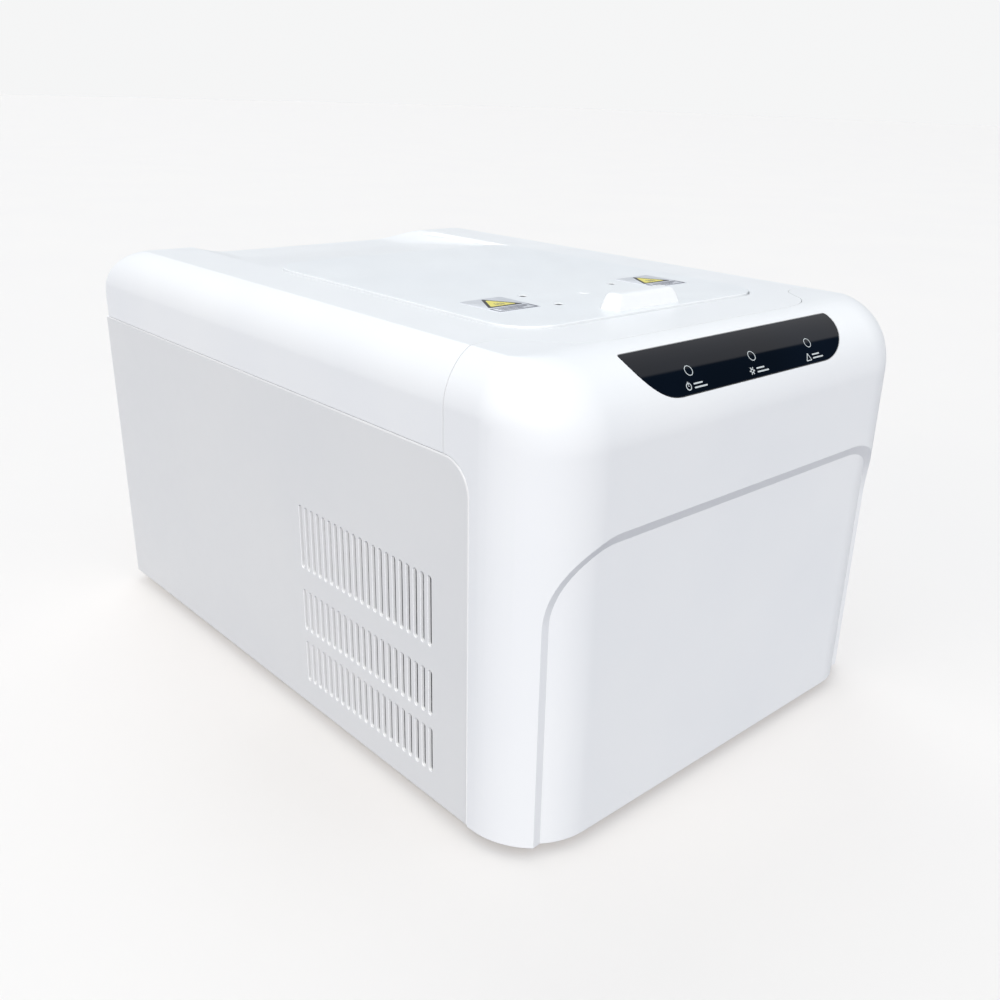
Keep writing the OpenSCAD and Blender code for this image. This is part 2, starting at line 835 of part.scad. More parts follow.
module power_supply() {
    lo = [-148, 30, foot_h + sheet + 3];
    hi = [-20, 190, supply_top];
    color("silver")
    difference() {
        union() {
            block(lo, hi);
            for (x = [lo[0] + 12, hi[0] - 12], y = [lo[1] + 14, hi[1] - 14])
                translate([x, y, foot_h + sheet]) cylinder(r = 4, h = 4, $fn = 24);
        }
        block([lo[0] + sheet, lo[1] + 10, lo[2] + sheet], [hi[0] - sheet, hi[1] + 1, hi[2] - sheet]);
    }
    color("darkgreen") block([lo[0] + sheet, lo[1] + 10, lo[2] + 4], [hi[0] - sheet, hi[1] - 4, lo[2] + 6]);
    color("black") for (i = [0:3])
        translate([lo[0] + 24 + i * 26, lo[1] + 60, lo[2] + 6]) cylinder(r = 9, h = 28, $fn = 32);
    color("gray") block([lo[0] + 20, lo[1] + 90, lo[2] + 6], [lo[0] + 60, lo[1] + 130, lo[2] + 34]);
}

module main_board() {
    z = board_z;
    color("darkgreen") block([-146, 36, z], [-16, 196, z + 1.6]);
    color("black") {
        block([-90, 100, z + 1.6], [-66, 124, z + 4]);
        block([-120, 150, z + 1.6], [-106, 164, z + 4]);
        for (i = [0:3]) block([-138 + i * 18, 40, z + 1.6], [-126 + i * 18, 50, z + 12]);
    }
    color("silver") for (i = [0:4]) translate([-34, 60 + i * 16, z + 1.6]) cylinder(r = 5, h = 14, $fn = 24);
}

module board_posts() {
    color("goldenrod")
    for (x = [-140, -24], y = [60, 180])
        translate([x, y, supply_top]) cylinder(r = 3, h = board_z - supply_top, $fn = 24);
}

module inlet_socket() {
    color("black")
    translate([inlet_c[0], rear_y, inlet_c[1]]) {
        difference() {
            union() {
                block([-20, 0, -12.5], [20, 2.5, 12.5]);
                block([-13.8, -20, -9.8], [13.8, 0, 9.8]);
            }
            block([-11.8, -16, -8], [11.8, 3, 8]);
        }
        for (p = [[-7, -2], [0, 2.5], [7, -2]])
            block([p[0] - 1, -16, p[1] - 2.5], [p[0] + 1, -5, p[1] + 2.5]);
    }
}

module rocker_housing() {
    color("black")
    translate([rocker_c[0], rear_y, rocker_c[1]])
    difference() {
        union() {
            block([-9.5, 0, -13.5], [9.5, 2, 13.5]);
            block([-6.8, -18, -10.8], [6.8, 0, 10.8]);
        }
        block([-5.3, -11, -9.3], [5.3, 3, 9.3]);
        translate([-6.3, -rocker_pivot_in, 0]) rotate([0, 90, 0]) cylinder(r = 1.5 + run_gap, h = 12.6, $fn = 32);
    }
}

// Rocker: a shallow V that turns on two stub pins
module power_rocker() {
    w = 4.9;
    color("darkred")
    translate([rocker_c[0], rear_y - rocker_pivot_in, rocker_c[1]]) {
        rotate([9, 0, 0])
        along_x(-w, w) polygon([[-3, -4], [4.5, -8], [6.4, -8], [5.2, 0], [6.4, 8], [4.5, 8], [-3, 4]]);
        translate([-6.1, 0, 0]) rotate([0, 90, 0]) cylinder(r = 1.5, h = 12.2, $fn = 32);
    }
}

module usb_socket() {
    color("lightgray")
    translate([usb_c[0], rear_y, usb_c[1]]) {
        difference() {
            block([-6.1, -16, -5.5], [6.1, 0.6, 5.5]);
            block([-4.4, -14, -4], [4.4, 2, 4]);
        }
        block([-2.8, -14, -1.6], [2.8, -5.5, 1.6]);
    }
}

// Round wire guard over the rear air holes
module rear_guard() {
    color("gray")
    translate([guard_c[0], rear_y, guard_c[1]]) rotate([-90, 0, 0]) {
        for (r = [12, 24, 36])
            difference() {
                cylinder(r = r + 1, h = 2, $fn = 64);
                translate([0, 0, -1]) cylinder(r = r - 1, h = 4, $fn = 64);
            }
        for (a = [45, 135]) rotate([0, 0, a]) block([-40, -1, 0], [40, 1, 2]);
    }
}

module panel_screws() {
    color("silver") {
        for (x = [-150, 150], z = [24, 110, 196])
            translate([x, rear_y, z]) rotate([-90, 0, 0]) difference() {
                cylinder(r = 3.5, h = 2, $fn = 32);
                translate([0, 0, 1]) cylinder(r = 1.4, h = 2, $fn = 6);
            }
        for (x = [-112, 112], y = [-150, -20, 100, 200])
            translate([x, y, foot_h - 1.6]) difference() {
                cylinder(r = 3.5, h = 1.6, $fn = 32);
                translate([0, 0, -1]) cylinder(r = 1.4, h = 2, $fn = 6);
            }
    }
}

foot_pads();
base_tray();
side_panel_left();
side_panel_right();
rear_panel();
top_cover();
front_bezel();
indicator_lens();
light_pipes();
status_board();
lid_panel();
grip_block();
lid_screws();
centre_plug();
hazard_plates();
hazard_triangles();
lid_carriage();
slide_rods();
rod_brackets();
heated_plate();
heater_mat();
plate_insulation();
plate_springs();
sample_block();
block_frame();
peltier_modules();
heat_sink();
fan_frame_left();
fan_frame_right();
fan_rotor_left();
fan_rotor_right();
sink_posts();
fan_screws();
optics_case();
optics_cover();
filter_wheel();
wheel_shaft();
stepper_motor();
detector();
light_source();
fibre_bundle();
power_supply();
main_board();
board_posts();
inlet_socket();
rocker_housing();
power_rocker();
usb_socket();
rear_guard();
panel_screws();
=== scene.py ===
"""Looks of the benchtop real-time thermal cycler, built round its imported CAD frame.

All lengths are metres. MM turns a size in millimetres into metres.
Most pieces are outlines with an edge profile: see layered(). The housing's shells are
cut from one smooth skin: see housing_skin().
"""

import math

import bmesh
import bpy
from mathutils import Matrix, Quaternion, Vector


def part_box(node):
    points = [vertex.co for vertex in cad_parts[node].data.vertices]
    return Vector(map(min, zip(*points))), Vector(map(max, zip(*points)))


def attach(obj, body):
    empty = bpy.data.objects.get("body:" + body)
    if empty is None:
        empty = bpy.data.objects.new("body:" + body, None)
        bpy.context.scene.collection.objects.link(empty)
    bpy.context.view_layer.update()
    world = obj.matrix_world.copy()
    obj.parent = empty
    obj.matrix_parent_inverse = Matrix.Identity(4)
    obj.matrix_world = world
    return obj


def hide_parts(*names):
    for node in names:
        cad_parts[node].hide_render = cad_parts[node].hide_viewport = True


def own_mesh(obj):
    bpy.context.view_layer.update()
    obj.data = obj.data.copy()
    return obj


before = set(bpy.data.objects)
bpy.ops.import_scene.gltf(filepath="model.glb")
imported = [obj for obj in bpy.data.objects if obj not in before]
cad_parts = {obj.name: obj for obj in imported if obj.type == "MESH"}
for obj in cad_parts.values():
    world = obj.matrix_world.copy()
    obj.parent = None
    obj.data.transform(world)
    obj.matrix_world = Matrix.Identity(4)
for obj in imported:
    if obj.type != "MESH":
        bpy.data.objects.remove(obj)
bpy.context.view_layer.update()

MM = 0.001

# ---------------------------------------------------------------- driving sizes, from the frame

_, cover_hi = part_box("top_cover")
bezel_lo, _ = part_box("front_bezel")
panel_lo, panel_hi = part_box("side_panel_right")
lid_lo, lid_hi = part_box("lid_panel")

HALF_W = cover_hi.x
FRONT = bezel_lo.y
REAR = cover_hi.y
TOP = cover_hi.z
LOW = bezel_lo.z
SIDE_TOP = panel_hi.z
PANEL_FRONT = panel_lo.y

# ---------------------------------------------------------------- sizes chosen for the looks

# Roundings of the housing: its front corners in plan, and its edges along the top
CORNER_R = 44.4 * MM
BROW_R = 40 * MM
REAR_R = 36 * MM
SHOULDER_R = 29 * MM
SHOULDER_Z = TOP - 27.3 * MM
REAR_CORNER_R = 6 * MM

# Wall of the shells, the gap between them, and how much smaller a panel is than its place
WALL = 3 * MM
GAP = 0.45 * MM
PANEL_SHY = 0.1 * MM

# Side panels and their vents, with the rows' heights above the panel's foot
PANEL_CORNER_R = 18 * MM
PANEL_T = 1.7 * MM
GRILLE_T = 1.85 * MM
VENT_ROWS = [(96 * MM, 136.5 * MM), (54 * MM, 81.5 * MM), (18 * MM, 46 * MM)]
SLOT_COUNT = 21
SLOT_START = -152 * MM
SLOT_PITCH = 6.15 * MM
SLOT_W = 3 * MM

# Lid, the pocket it slides in, the scoop behind it and the hatch under it
LID_R = 26 * MM
LID_GAP = 1.2 * MM
LID_TRAVEL = 105 * MM
POCKET_Z = TOP - 2.5 * MM
SCOOP_Z = TOP - 7.7 * MM
HATCH_HW = 74 * MM
HATCH_FRONT = -143 * MM
HATCH_REAR = 62 * MM
HATCH_R = 4 * MM

# Screws that carry the hot plate, and the springs round them: turns in all, turns that lie
# flat at each end, and points in a turn
SCREW_X = 38 * MM
SCREW_FOOT_R = 2.6 * MM
SPRING_OUTER = 6.9 * MM
SPRING_WIRE = 0.9 * MM
SPRING_TURNS = 6.5
SPRING_FLAT = 0.75
SPRING_STEPS = 24

# ---------------------------------------------------------------- mesh helpers


def add_object(name, bm, smooth_angle=32.0):
    """Turns a bmesh into a shaded object: smooth, with creases where faces meet sharply."""
    bmesh.ops.recalc_face_normals(bm, faces=bm.faces)
    if bm.calc_volume(signed=True) < 0:
        bmesh.ops.reverse_faces(bm, faces=bm.faces)
    mesh = bpy.data.meshes.new(name)
    bm.to_mesh(mesh)
    bm.free()
    piece = bpy.data.objects.new(name, mesh)
    bpy.context.scene.collection.objects.link(piece)
    crease(piece, smooth_angle)
    return piece


def crease(piece, angle):
    """Shades the piece smooth and marks the edges that are sharper than angle, in degrees."""
    bm = bmesh.new()
    bm.from_mesh(piece.data)
    limit = math.radians(angle)
    for face in bm.faces:
        face.smooth = True
    for edge in bm.edges:
        edge.smooth = len(edge.link_faces) == 2 and edge.calc_face_angle(0) < limit
    bm.to_mesh(piece.data)
    bm.free()


def bake(piece):
    """Applies the piece's modifiers to its mesh."""
    graph = bpy.context.evaluated_depsgraph_get()
    mesh = bpy.data.meshes.new_from_object(piece.evaluated_get(graph))
    piece.modifiers.clear()
    piece.data = mesh


def cut(piece, tools, how="DIFFERENCE"):
    """Cuts the piece with each tool in turn and removes the tools."""
    for tool in tools:
        step = piece.modifiers.new("cut", "BOOLEAN")
        step.object = tool
        step.operation = how
        step.solver = "EXACT"
        bake(piece)
        bpy.data.objects.remove(tool)
    return piece


def soften(piece, width, angle=25, segments=2):
    """Rounds the edges sharper than angle and keeps flat faces flat in the shading."""
    clean(piece)
    step = piece.modifiers.new("edge", "BEVEL")
    step.width = width
    step.segments = segments
    step.limit_method = "ANGLE"
    step.angle_limit = math.radians(angle)
    step.use_clamp_overlap = True
    step.miter_outer = "MITER_ARC"
    bake(piece)
    crease(piece, angle - 3)
    weigh(piece)
    return piece


def weigh(piece):
    """Lets large faces set the shading normals."""
    step = piece.modifiers.new("normals", "WEIGHTED_NORMAL")
    step.keep_sharp = True
    step.weight = 90


def clean(piece, distance=0.02 * MM):
    """Merges points that lie on each other and dissolves edges between coplanar faces."""
    bm = bmesh.new()
    bm.from_mesh(piece.data)
    bmesh.ops.remove_doubles(bm, verts=bm.verts, dist=distance)
    bmesh.ops.dissolve_limit(bm, angle_limit=math.radians(0.5), verts=bm.verts, edges=bm.edges,
                             delimit={"NORMAL"})
    bm.to_mesh(piece.data)
    bm.free()


def join(name, pieces):
    """Joins several pieces into one that takes the name."""
    bm = bmesh.new()
    for piece in pieces:
        bm.from_mesh(piece.data)
    for piece in pieces:
        bpy.data.objects.remove(piece)
    return add_object(name, bm)


def loft(rings, cuts=(), wrap=None):
    """Closed solid through equal rings of 3-D points, cut into strips and then bent by wrap.

    cuts lists (axis, value) planes that split the faces before wrap moves every point.
    """
    bm = bmesh.new()
    rows = [[bm.verts.new(p) for p in ring] for ring in rings]
    for low, high in zip(rows, rows[1:]):
        count = len(low)
        for i in range(count):
            j = (i + 1) % count
            bm.faces.new((low[i], low[j], high[j], high[i]))
    bm.faces.new(rows[0][::-1])
    bm.faces.new(rows[-1])
    bmesh.ops.remove_doubles(bm, verts=bm.verts, dist=1e-7)
    for axis, value in cuts:
        normal = Vector((axis == 0, axis == 1, axis == 2))
        bmesh.ops.bisect_plane(bm, geom=bm.verts[:] + bm.edges[:] + bm.faces[:],
                               plane_co=normal * value, plane_no=normal, dist=1e-7)
    if wrap:
        for vert in bm.verts:
            vert.co = wrap(*vert.co)
    return add_object("solid", bm)


def inset(outline, distance):
    """A closed anticlockwise outline moved inwards by a distance, point for point."""
    moved = []
    count = len(outline)
    for i, point in enumerate(outline):
        before = Vector(outline[i - 1])
        here = Vector(point)
        after = Vector(outline[(i + 1) % count])
        a = (here - before).normalized()
        b = (after - here).normalized()
        normal_a = Vector((-a.y, a.x))
        normal_b = Vector((-b.y, b.x))
        middle = (normal_a + normal_b).normalized()
        moved.append(here + middle * (distance / max(middle.dot(normal_a), 0.3)))
    return moved


def layered(outline, profile, place=None, cuts=()):
    """Solid made of one outline at several depths: profile lists (inset, depth) pairs.

    place turns (a, b, depth) into a point in the frame.
    """
    rings = [[(p[0], p[1], depth) for p in inset(outline, distance)] for distance, depth in profile]
    return loft(rings, cuts, place)


def arc(centre, radius, start, end, steps):
    """Points on an arc, from one angle to another, in degrees."""
    angles = [math.radians(start + (end - start) * i / steps) for i in range(steps + 1)]
    return [(centre[0] + radius * math.cos(a), centre[1] + radius * math.sin(a)) for a in angles]


def rounded(lo, hi, radius, steps=8):
    """Rectangle with round corners, anticlockwise."""
    corners = [
        ((hi[0] - radius, hi[1] - radius), 0), ((lo[0] + radius, hi[1] - radius), 90),
        ((lo[0] + radius, lo[1] + radius), 180), ((hi[0] - radius, lo[1] + radius), 270),
    ]
    return [p for centre, start in corners for p in arc(centre, radius, start, start + 90, steps)]


def circle(centre, radius, steps=32):
    """Points round a circle."""
    return arc(centre, radius, 0, 360 - 360 / steps, steps - 1)


def box_tool(lo, hi):
    """Plain box used only to cut with."""
    outline = [(lo[0], lo[1]), (hi[0], lo[1]), (hi[0], hi[1]), (lo[0], hi[1])]
    return layered(outline, [(0, lo[2]), (0, hi[2])])


def mirrored(points):
    """The points and their mirror images in X, running round from right to left."""
    return points + [(-x, y) for x, y in reversed(points)]


def as_yz(side):
    """Places an outline drawn in Y and Z on a side of the housing, depth running inwards."""
    return lambda a, b, depth: (side * (HALF_W - depth), a, b)


# ---------------------------------------------------------------- materials


class Shader:
    """A principled material with helpers for the nodes that vary it over the surface."""

    def __init__(self, name, color, roughness, metallic=0.0):
        self.material = bpy.data.materials.new(name)
        self.material.use_nodes = True
        self.tree = self.material.node_tree
        self.main = self.tree.nodes["Principled BSDF"]
        self.color = color
        self.roughness = roughness
        self.set("Metallic", metallic)
        self.coords = self.tree.nodes.new("ShaderNodeTexCoord").outputs["Object"]
        self.height = None

    def set(self, socket, value):
        self.main.inputs[socket].default_value = value

    def noise(self, scale, detail=3.0, stretch=(1, 1, 1)):
        """A noise pattern, in features per metre, stretched along the axes."""
        mapping = self.tree.nodes.new("ShaderNodeMapping")
        mapping.inputs["Scale"].default_value = stretch
        noise = self.tree.nodes.new("ShaderNodeTexNoise")
        noise.inputs["Scale"].default_value = scale
        noise.inputs["Detail"].default_value = detail
        self.tree.links.new(self.coords, mapping.inputs["Vector"])
        self.tree.links.new(mapping.outputs["Vector"], noise.inputs["Vector"])
        return noise.outputs["Fac"]

    def spread(self, factor, low, high):
        """Maps the middle of a pattern onto a range of numbers."""
        node = self.tree.nodes.new("ShaderNodeMapRange")
        node.inputs["From Min"].default_value = 0.3
        node.inputs["From Max"].default_value = 0.7
        node.inputs["To Min"].default_value = low
        node.inputs["To Max"].default_value = high
        self.tree.links.new(factor, node.inputs["Value"])
        return node.outputs["Result"]

    def vary_color(self, factor, change):
        """Shifts the base colour between itself and itself times change."""
        mix = self.tree.nodes.new("ShaderNodeMix")
        mix.data_type = "RGBA"
        mix.inputs["A"].default_value = (*self.color, 1)
        mix.inputs["B"].default_value = (*[min(1, c * k) for c, k in zip(self.color, change)], 1)
        self.tree.links.new(self.spread(factor, 0, 1), mix.inputs["Factor"])
        self.tree.links.new(mix.outputs["Result"], self.main.inputs["Base Color"])

    def vary_roughness(self, factor, amount):
        low = max(0.02, self.roughness - amount)
        high = self.roughness + amount
        self.tree.links.new(self.spread(factor, low, high), self.main.inputs["Roughness"])

    def bump(self, factor, strength, distance):
        """Adds a relief; several reliefs stack."""
        node = self.tree.nodes.new("ShaderNodeBump")
        node.inputs["Strength"].default_value = strength
        node.inputs["Distance"].default_value = distance
        self.tree.links.new(factor, node.inputs["Height"])
        if self.height:
            self.tree.links.new(self.height, node.inputs["Normal"])
        self.height = node.outputs["Normal"]
        self.tree.links.new(self.height, self.main.inputs["Normal"])


def moulded(name, color, roughness, grain=1300, depth=0.01, coat=0.0):
    """Injection-moulded plastic: fine spark grain, faint flow marks, uneven sheen."""
    s = Shader(name, color, roughness)
    s.vary_color(s.noise(9, 2), (0.965, 0.97, 0.98))
    s.vary_roughness(s.noise(60, 4), 0.05)
    s.bump(s.noise(24, 1), 0.05, 0.12 * MM)
    s.bump(s.noise(grain, 1), 0.15, depth * MM)
    s.set("Coat Weight", coat)
    s.set("Coat Roughness", 0.12)
    s.set("IOR", 1.43)
    return s.material


def powder_coat(name, color, roughness=0.42):
    """Powder-coated sheet: orange peel over a finer grain."""
    s = Shader(name, color, roughness)
    s.vary_color(s.noise(7, 2), (0.97, 0.975, 0.985))
    s.vary_roughness(s.noise(140, 3), 0.06)
    s.bump(s.noise(420, 2), 0.25, 0.05 * MM)
    s.bump(s.noise(2200, 1), 0.2, 0.01 * MM)
    return s.material


def brushed(name, color, roughness, along=(1, 40, 40)):
    """Metal with a grain that runs along one axis."""
    s = Shader(name, color, roughness, metallic=1.0)
    s.vary_color(s.noise(12, 3), (0.9, 0.9, 0.92))
    grain = s.noise(60, 5, along)
    s.vary_roughness(grain, 0.09)
    s.bump(grain, 0.25, 0.02 * MM)
    return s.material


def zinc(name, color=(0.62, 0.64, 0.66), roughness=0.38):
    """Zinc-plated sheet with faint spangle."""
    s = Shader(name, color, roughness, metallic=1.0)
    voronoi = s.tree.nodes.new("ShaderNodeTexVoronoi")
    voronoi.inputs["Scale"].default_value = 90
    s.tree.links.new(s.coords, voronoi.inputs["Vector"])
    s.vary_color(voronoi.outputs["Distance"], (0.86, 0.87, 0.9))
    s.vary_roughness(s.noise(45, 3), 0.08)
    s.bump(s.noise(900, 2), 0.15, 0.01 * MM)
    return s.material


def rubbery(name, color, roughness=0.75):
    """Soft rubber: matt, dusty and finely pitted."""
    s = Shader(name, color, roughness)
    s.vary_color(s.noise(70, 4), (1.5, 1.5, 1.5))
    s.vary_roughness(s.noise(200, 3), 0.08)
    s.bump(s.noise(1500, 3), 0.5, 0.05 * MM)
    return s.material


def glossy_black(name):
    """Polished smoked plastic of the indicator lens."""
    s = Shader(name, (0.0015, 0.003, 0.006), 0.05)
    s.vary_color(s.noise(14, 2), (1.6, 1.6, 1.8))
    s.vary_roughness(s.noise(30, 3), 0.02)
    s.bump(s.noise(26, 2), 0.05, 0.2 * MM)
    s.set("IOR", 1.5)
    return s.material


def printed(name, color, roughness=0.45):
    """Ink or printed film: slightly uneven in tone and sheen."""
    s = Shader(name, color, roughness)
    s.vary_color(s.noise(160, 3), (0.92, 0.92, 0.92))
    s.vary_roughness(s.noise(300, 3), 0.05)
    s.bump(s.noise(900, 2), 0.15, 0.01 * MM)
    return s.material


def circuit(name):
    """Circuit board: green mask over a grid of fine tracks."""
    s = Shader(name, (0.012, 0.10, 0.035), 0.35)
    brick = s.tree.nodes.new("ShaderNodeTexBrick")
    brick.inputs["Scale"].default_value = 160
    s.tree.links.new(s.coords, brick.inputs["Vector"])
    s.vary_color(brick.outputs["Fac"], (2.2, 1.6, 1.8))
    s.vary_roughness(s.noise(120, 3), 0.06)
    s.bump(brick.outputs["Fac"], 0.2, 0.03 * MM)
    return s.material


WHITE = moulded("white_shell", (0.875, 0.875, 0.87), 0.42, coat=0.06)
LID_WHITE = moulded("lid_shell", (0.86, 0.87, 0.87), 0.38, coat=0.06)
PANEL = powder_coat("panel_paint", (0.765, 0.76, 0.75))
# Lighter copy of the panel paint for cut edges and slot walls: a painted highlight standing in for their lit
# faces
PANEL_EDGE_HIGHLIGHT = powder_coat("panel_edge_highlight", (0.93, 0.93, 0.925), 0.38)
LENS = glossy_black("lens_black")
PRINT_LIGHT = printed("print_light", (0.62, 0.66, 0.66), 0.5)
PRINT_DARK = printed("print_dark", (0.035, 0.035, 0.04), 0.45)
YELLOW = printed("hazard_yellow", (0.86, 0.76, 0.16), 0.4)
FILM = printed("plate_film", (0.74, 0.755, 0.785), 0.36)
FILM_MARK = printed("plate_mark", (0.10, 0.10, 0.14), 0.4)
BLACK = moulded("black_plastic", (0.02, 0.02, 0.022), 0.45, grain=1400, depth=0.03)
RED = moulded("rocker_red", (0.42, 0.02, 0.02), 0.3)
CLEAR = moulded("clear_plastic", (0.70, 0.76, 0.78), 0.2)
RUBBER = rubbery("rubber", (0.03, 0.03, 0.032))
FOAM = rubbery("foam", (0.05, 0.05, 0.052), 0.9)
ALUMINIUM = brushed("aluminium", (0.74, 0.75, 0.77), 0.3)
ANODISED = brushed("anodised", (0.60, 0.61, 0.63), 0.4, (40, 1, 40))
STEEL = brushed("bright_steel", (0.70, 0.71, 0.72), 0.2, (40, 1, 40))
DARK_STEEL = brushed("dark_steel", (0.10, 0.10, 0.11), 0.4)
ZINC = zinc("zinc_sheet")
BRASS = brushed("brass", (0.72, 0.52, 0.22), 0.3)
CERAMIC = printed("peltier_ceramic", (0.85, 0.85, 0.82), 0.6)
HEATER = printed("heater_film", (0.62, 0.26, 0.04), 0.35)
BOARD = circuit("circuit_board")
WIRE = moulded("black_wire", (0.03, 0.03, 0.033), 0.35)


def dress(piece, material, body, nodes=()):
    """Gives a finished piece its material and body, and hides the CAD nodes it stands for."""
    piece.data.materials.clear()
    piece.data.materials.append(material)
    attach(piece, body)
    if nodes:
        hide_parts(*nodes)
    return piece


# ---------------------------------------------------------------- housing skin


def bulge(z, edge, radius):
    """How far a rounded edge of this radius has drawn in at a height above its start."""
    rise = min(max(z - edge, 0.0), radius)
    return radius - math.sqrt(radius * radius - rise * rise)


def housing_ring(z, depth):
    """One level of the housing's plan, drawn in by a depth, anticlockwise."""
    side = bulge(z, SHOULDER_Z, SHOULDER_R - depth)
    front = bulge(z, TOP - BROW_R, BROW_R - depth)
    rear = bulge(z, TOP - REAR_R, REAR_R - depth)
    cx = HALF_W - CORNER_R
    cy = FRONT + CORNER_R
    wide = CORNER_R - depth - side
    deep = CORNER_R - depth - front
    small = max(REAR_CORNER_R - depth, 1 * MM)
    rx = HALF_W - depth - side - small
    ry = REAR - depth - rear - small
    points = [(cx + wide * x, cy + deep * y, z) for x, y in arc((0, 0), 1, 270, 360, 24)]
    points += [(x, y, z) for x, y in arc((rx, ry), small, 0, 90, 5)]
    points += [(x, y, z) for x, y in arc((-rx, ry), small, 90, 180, 5)]
    points += [(-cx + wide * x, cy + deep * y, z) for x, y in arc((0, 0), 1, 180, 270, 24)]
    return points


def housing_skin(depth):
    """The whole housing as one smooth solid, drawn in by a depth.

    A drawn-in one reaches below the housing, so the shell it is cut from is open there.
    """
    turn = BROW_R - depth
    levels = [LOW - (5 * MM if depth else 0), TOP - BROW_R - 30 * MM]
    levels += [TOP - BROW_R + turn * math.sin(math.radians(a)) for a in (*range(0, 92, 4), 90)]
    return loft([housing_ring(z, depth) for z in levels])


# ---------------------------------------------------------------- seams and cutters


def seam_curve():
    """Right half of the seam between bezel and top cover, seen from above."""
    keys = [(HALF_W + 20 * MM, -164 * MM), (HALF_W, -163.6 * MM), (143 * MM, -160.7 * MM),
            (128 * MM, -158.7 * MM), (116.6 * MM, -162.4 * MM), (108 * MM, -172.6 * MM),
            (100.5 * MM, -182.5 * MM), (87.5 * MM, -190 * MM), (72 * MM, -192.3 * MM),
            (50 * MM, -192.3 * MM)]
    points = []
    for i in range(len(keys) - 3):
        p = [Vector(k) for k in keys[i:i + 4]]
        for step in range(6):
            t = step / 6
            points.append(tuple(0.5 * (2 * p[1] + (p[2] - p[0]) * t
                                       + (2 * p[0] - 5 * p[1] + 4 * p[2] - p[3]) * t * t
                                       + (3 * p[1] - p[0] - 3 * p[2] + p[3]) * t ** 3)))
    return [keys[0]] + points + [keys[-2]]


def behind_seam(shift):
    """Everything behind the seam, moved back by shift."""
    front = [(x, y + shift) for x, y in mirrored(seam_curve())]
    outline = front + [(-HALF_W - 20 * MM, REAR + 20 * MM), (HALF_W + 20 * MM, REAR + 20 * MM)]
    return layered(outline[::-1], [(0, -20 * MM), (0, TOP + 20 * MM)])


def before_seam(shift):
    """Everything in front of the seam, moved back by shift."""
    back = [(x, y + shift) for x, y in mirrored(seam_curve())]
    outline = back + [(-HALF_W - 20 * MM, FRONT - 20 * MM), (HALF_W + 20 * MM, FRONT - 20 * MM)]
    return layered(outline, [(0, -20 * MM), (0, TOP + 20 * MM)])


def panel_outline(grow, rear, low):
    """A side panel seen from the side, grown at its front and top."""
    r = PANEL_CORNER_R + grow
    front = PANEL_FRONT - grow
    top = SIDE_TOP + grow
    return [(front, low), (rear, low), (rear, top)] + arc((front + r, top - r), r, 90, 180, 12)


def wrap_front(u, z, depth):
    """Bends a flat drawing round the front of the housing: u runs along the front."""
    straight = HALF_W - CORNER_R
    side = 1 if u > 0 else -1
    along = abs(u) - straight
    if along <= 0:
        return Vector((u, FRONT + depth, z))
    turn = along / CORNER_R
    r = CORNER_R - depth
    return Vector((side * (straight + r * math.sin(turn)), FRONT + CORNER_R - r * math.cos(turn), z))


def wrap_brow(x, s, depth):
    """Bends a flat drawing over the brow: s runs up the rounding from its lower edge."""
    turn = s / BROW_R
    r = BROW_R - depth
    return Vector((x, FRONT + BROW_R - r * math.cos(turn), TOP - BROW_R + r * math.sin(turn)))


# The recessed field, measured along the bent front, and the cuts that let its tool bend
FIELD_HW = 147.8 * MM
FIELD_TOP = LOW + 171.2 * MM
FIELD_R = 44 * MM
FIELD_DEPTH = 3.6 * MM
SLOPE_SIDE = 3.9 * MM
SLOPE_TOP = 6.6 * MM
FRONT_STRIPS = [side * (HALF_W - CORNER_R + CORNER_R * math.radians(a))
                for side in (-1, 1) for a in range(0, 60, 3)]


def field_ring(side_in, top_in, depth):
    """One level of the recessed field: its sides and its top draw in by different amounts."""
    w = FIELD_HW - side_in
    top = FIELD_TOP - top_in
    cx = FIELD_HW - FIELD_R
    cz = FIELD_TOP - FIELD_R
    right = [(cx + (w - cx) * x, cz + (top - cz) * z) for x, z in arc((0, 0), 1, 0, 90, 18)]
    outline = [(w, LOW - 12 * MM)] + right
    return [(x, z, depth) for x, z in [(-x, z) for x, z in reversed(outline)] + outline][::-1]


def field_tool(profile, grow=0):
    """Cutter for the recessed field: profile lists (share of the slope, depth) pairs."""
    rings = [field_ring(SLOPE_SIDE * share - grow, SLOPE_TOP * share - grow, depth)
             for share, depth in profile]
    return loft(rings, [(0, u) for u in FRONT_STRIPS], wrap_front)


# Half the lens's width, and the cuts that let flat shapes and small prints bend over the brow
LENS_HW = 89.5 * MM
BROW_STRIPS = [(1, BROW_R * math.radians(a)) for a in range(0, 93, 3)]
PRINT_STRIPS = [(1, BROW_R * math.radians(a / 2)) for a in range(0, 184, 3)]


def lens_outline(grow):
    """Lens in the flat: large round corners below, small ones above."""
    low = 17.2 * MM
    high = 46.9 * MM
    large = 27 * MM
    small = 1.8 * MM
    right = arc((LENS_HW - large, low + large), large + grow, -90, 0, 14)
    right += arc((LENS_HW - small, high - small), small + grow, 0, 90, 4)
    return mirrored(right)


def build_bezel():
    """Front shell: wraps both corners, with the recessed field and the lens pocket."""
    shell = housing_skin(0)
    slope = [(-0.8, -3 * MM), (0, 0), (1, FIELD_DEPTH)]
    cut(shell, [field_tool(slope)])
    core = housing_skin(WALL)
    cut(core, [field_tool([(0, -3 * MM), (0, FIELD_DEPTH + WALL)], WALL)])
    side_zone = layered(panel_outline(GAP, 0, -10 * MM), [(0, -HALF_W - 10 * MM), (0, HALF_W + 10 * MM)],
                        lambda a, b, x: (x, a, b))
    lens_pocket = layered(lens_outline(0.3 * MM), [(0, -3 * MM), (0, 1.9 * MM)], wrap_brow, BROW_STRIPS)
    cut(shell, [behind_seam(0), side_zone, core, lens_pocket])
    soften(shell, 0.3 * MM, 23)
    shell.name = "bezel_shell"
    return dress(shell, WHITE, "housing", ["front_bezel"])


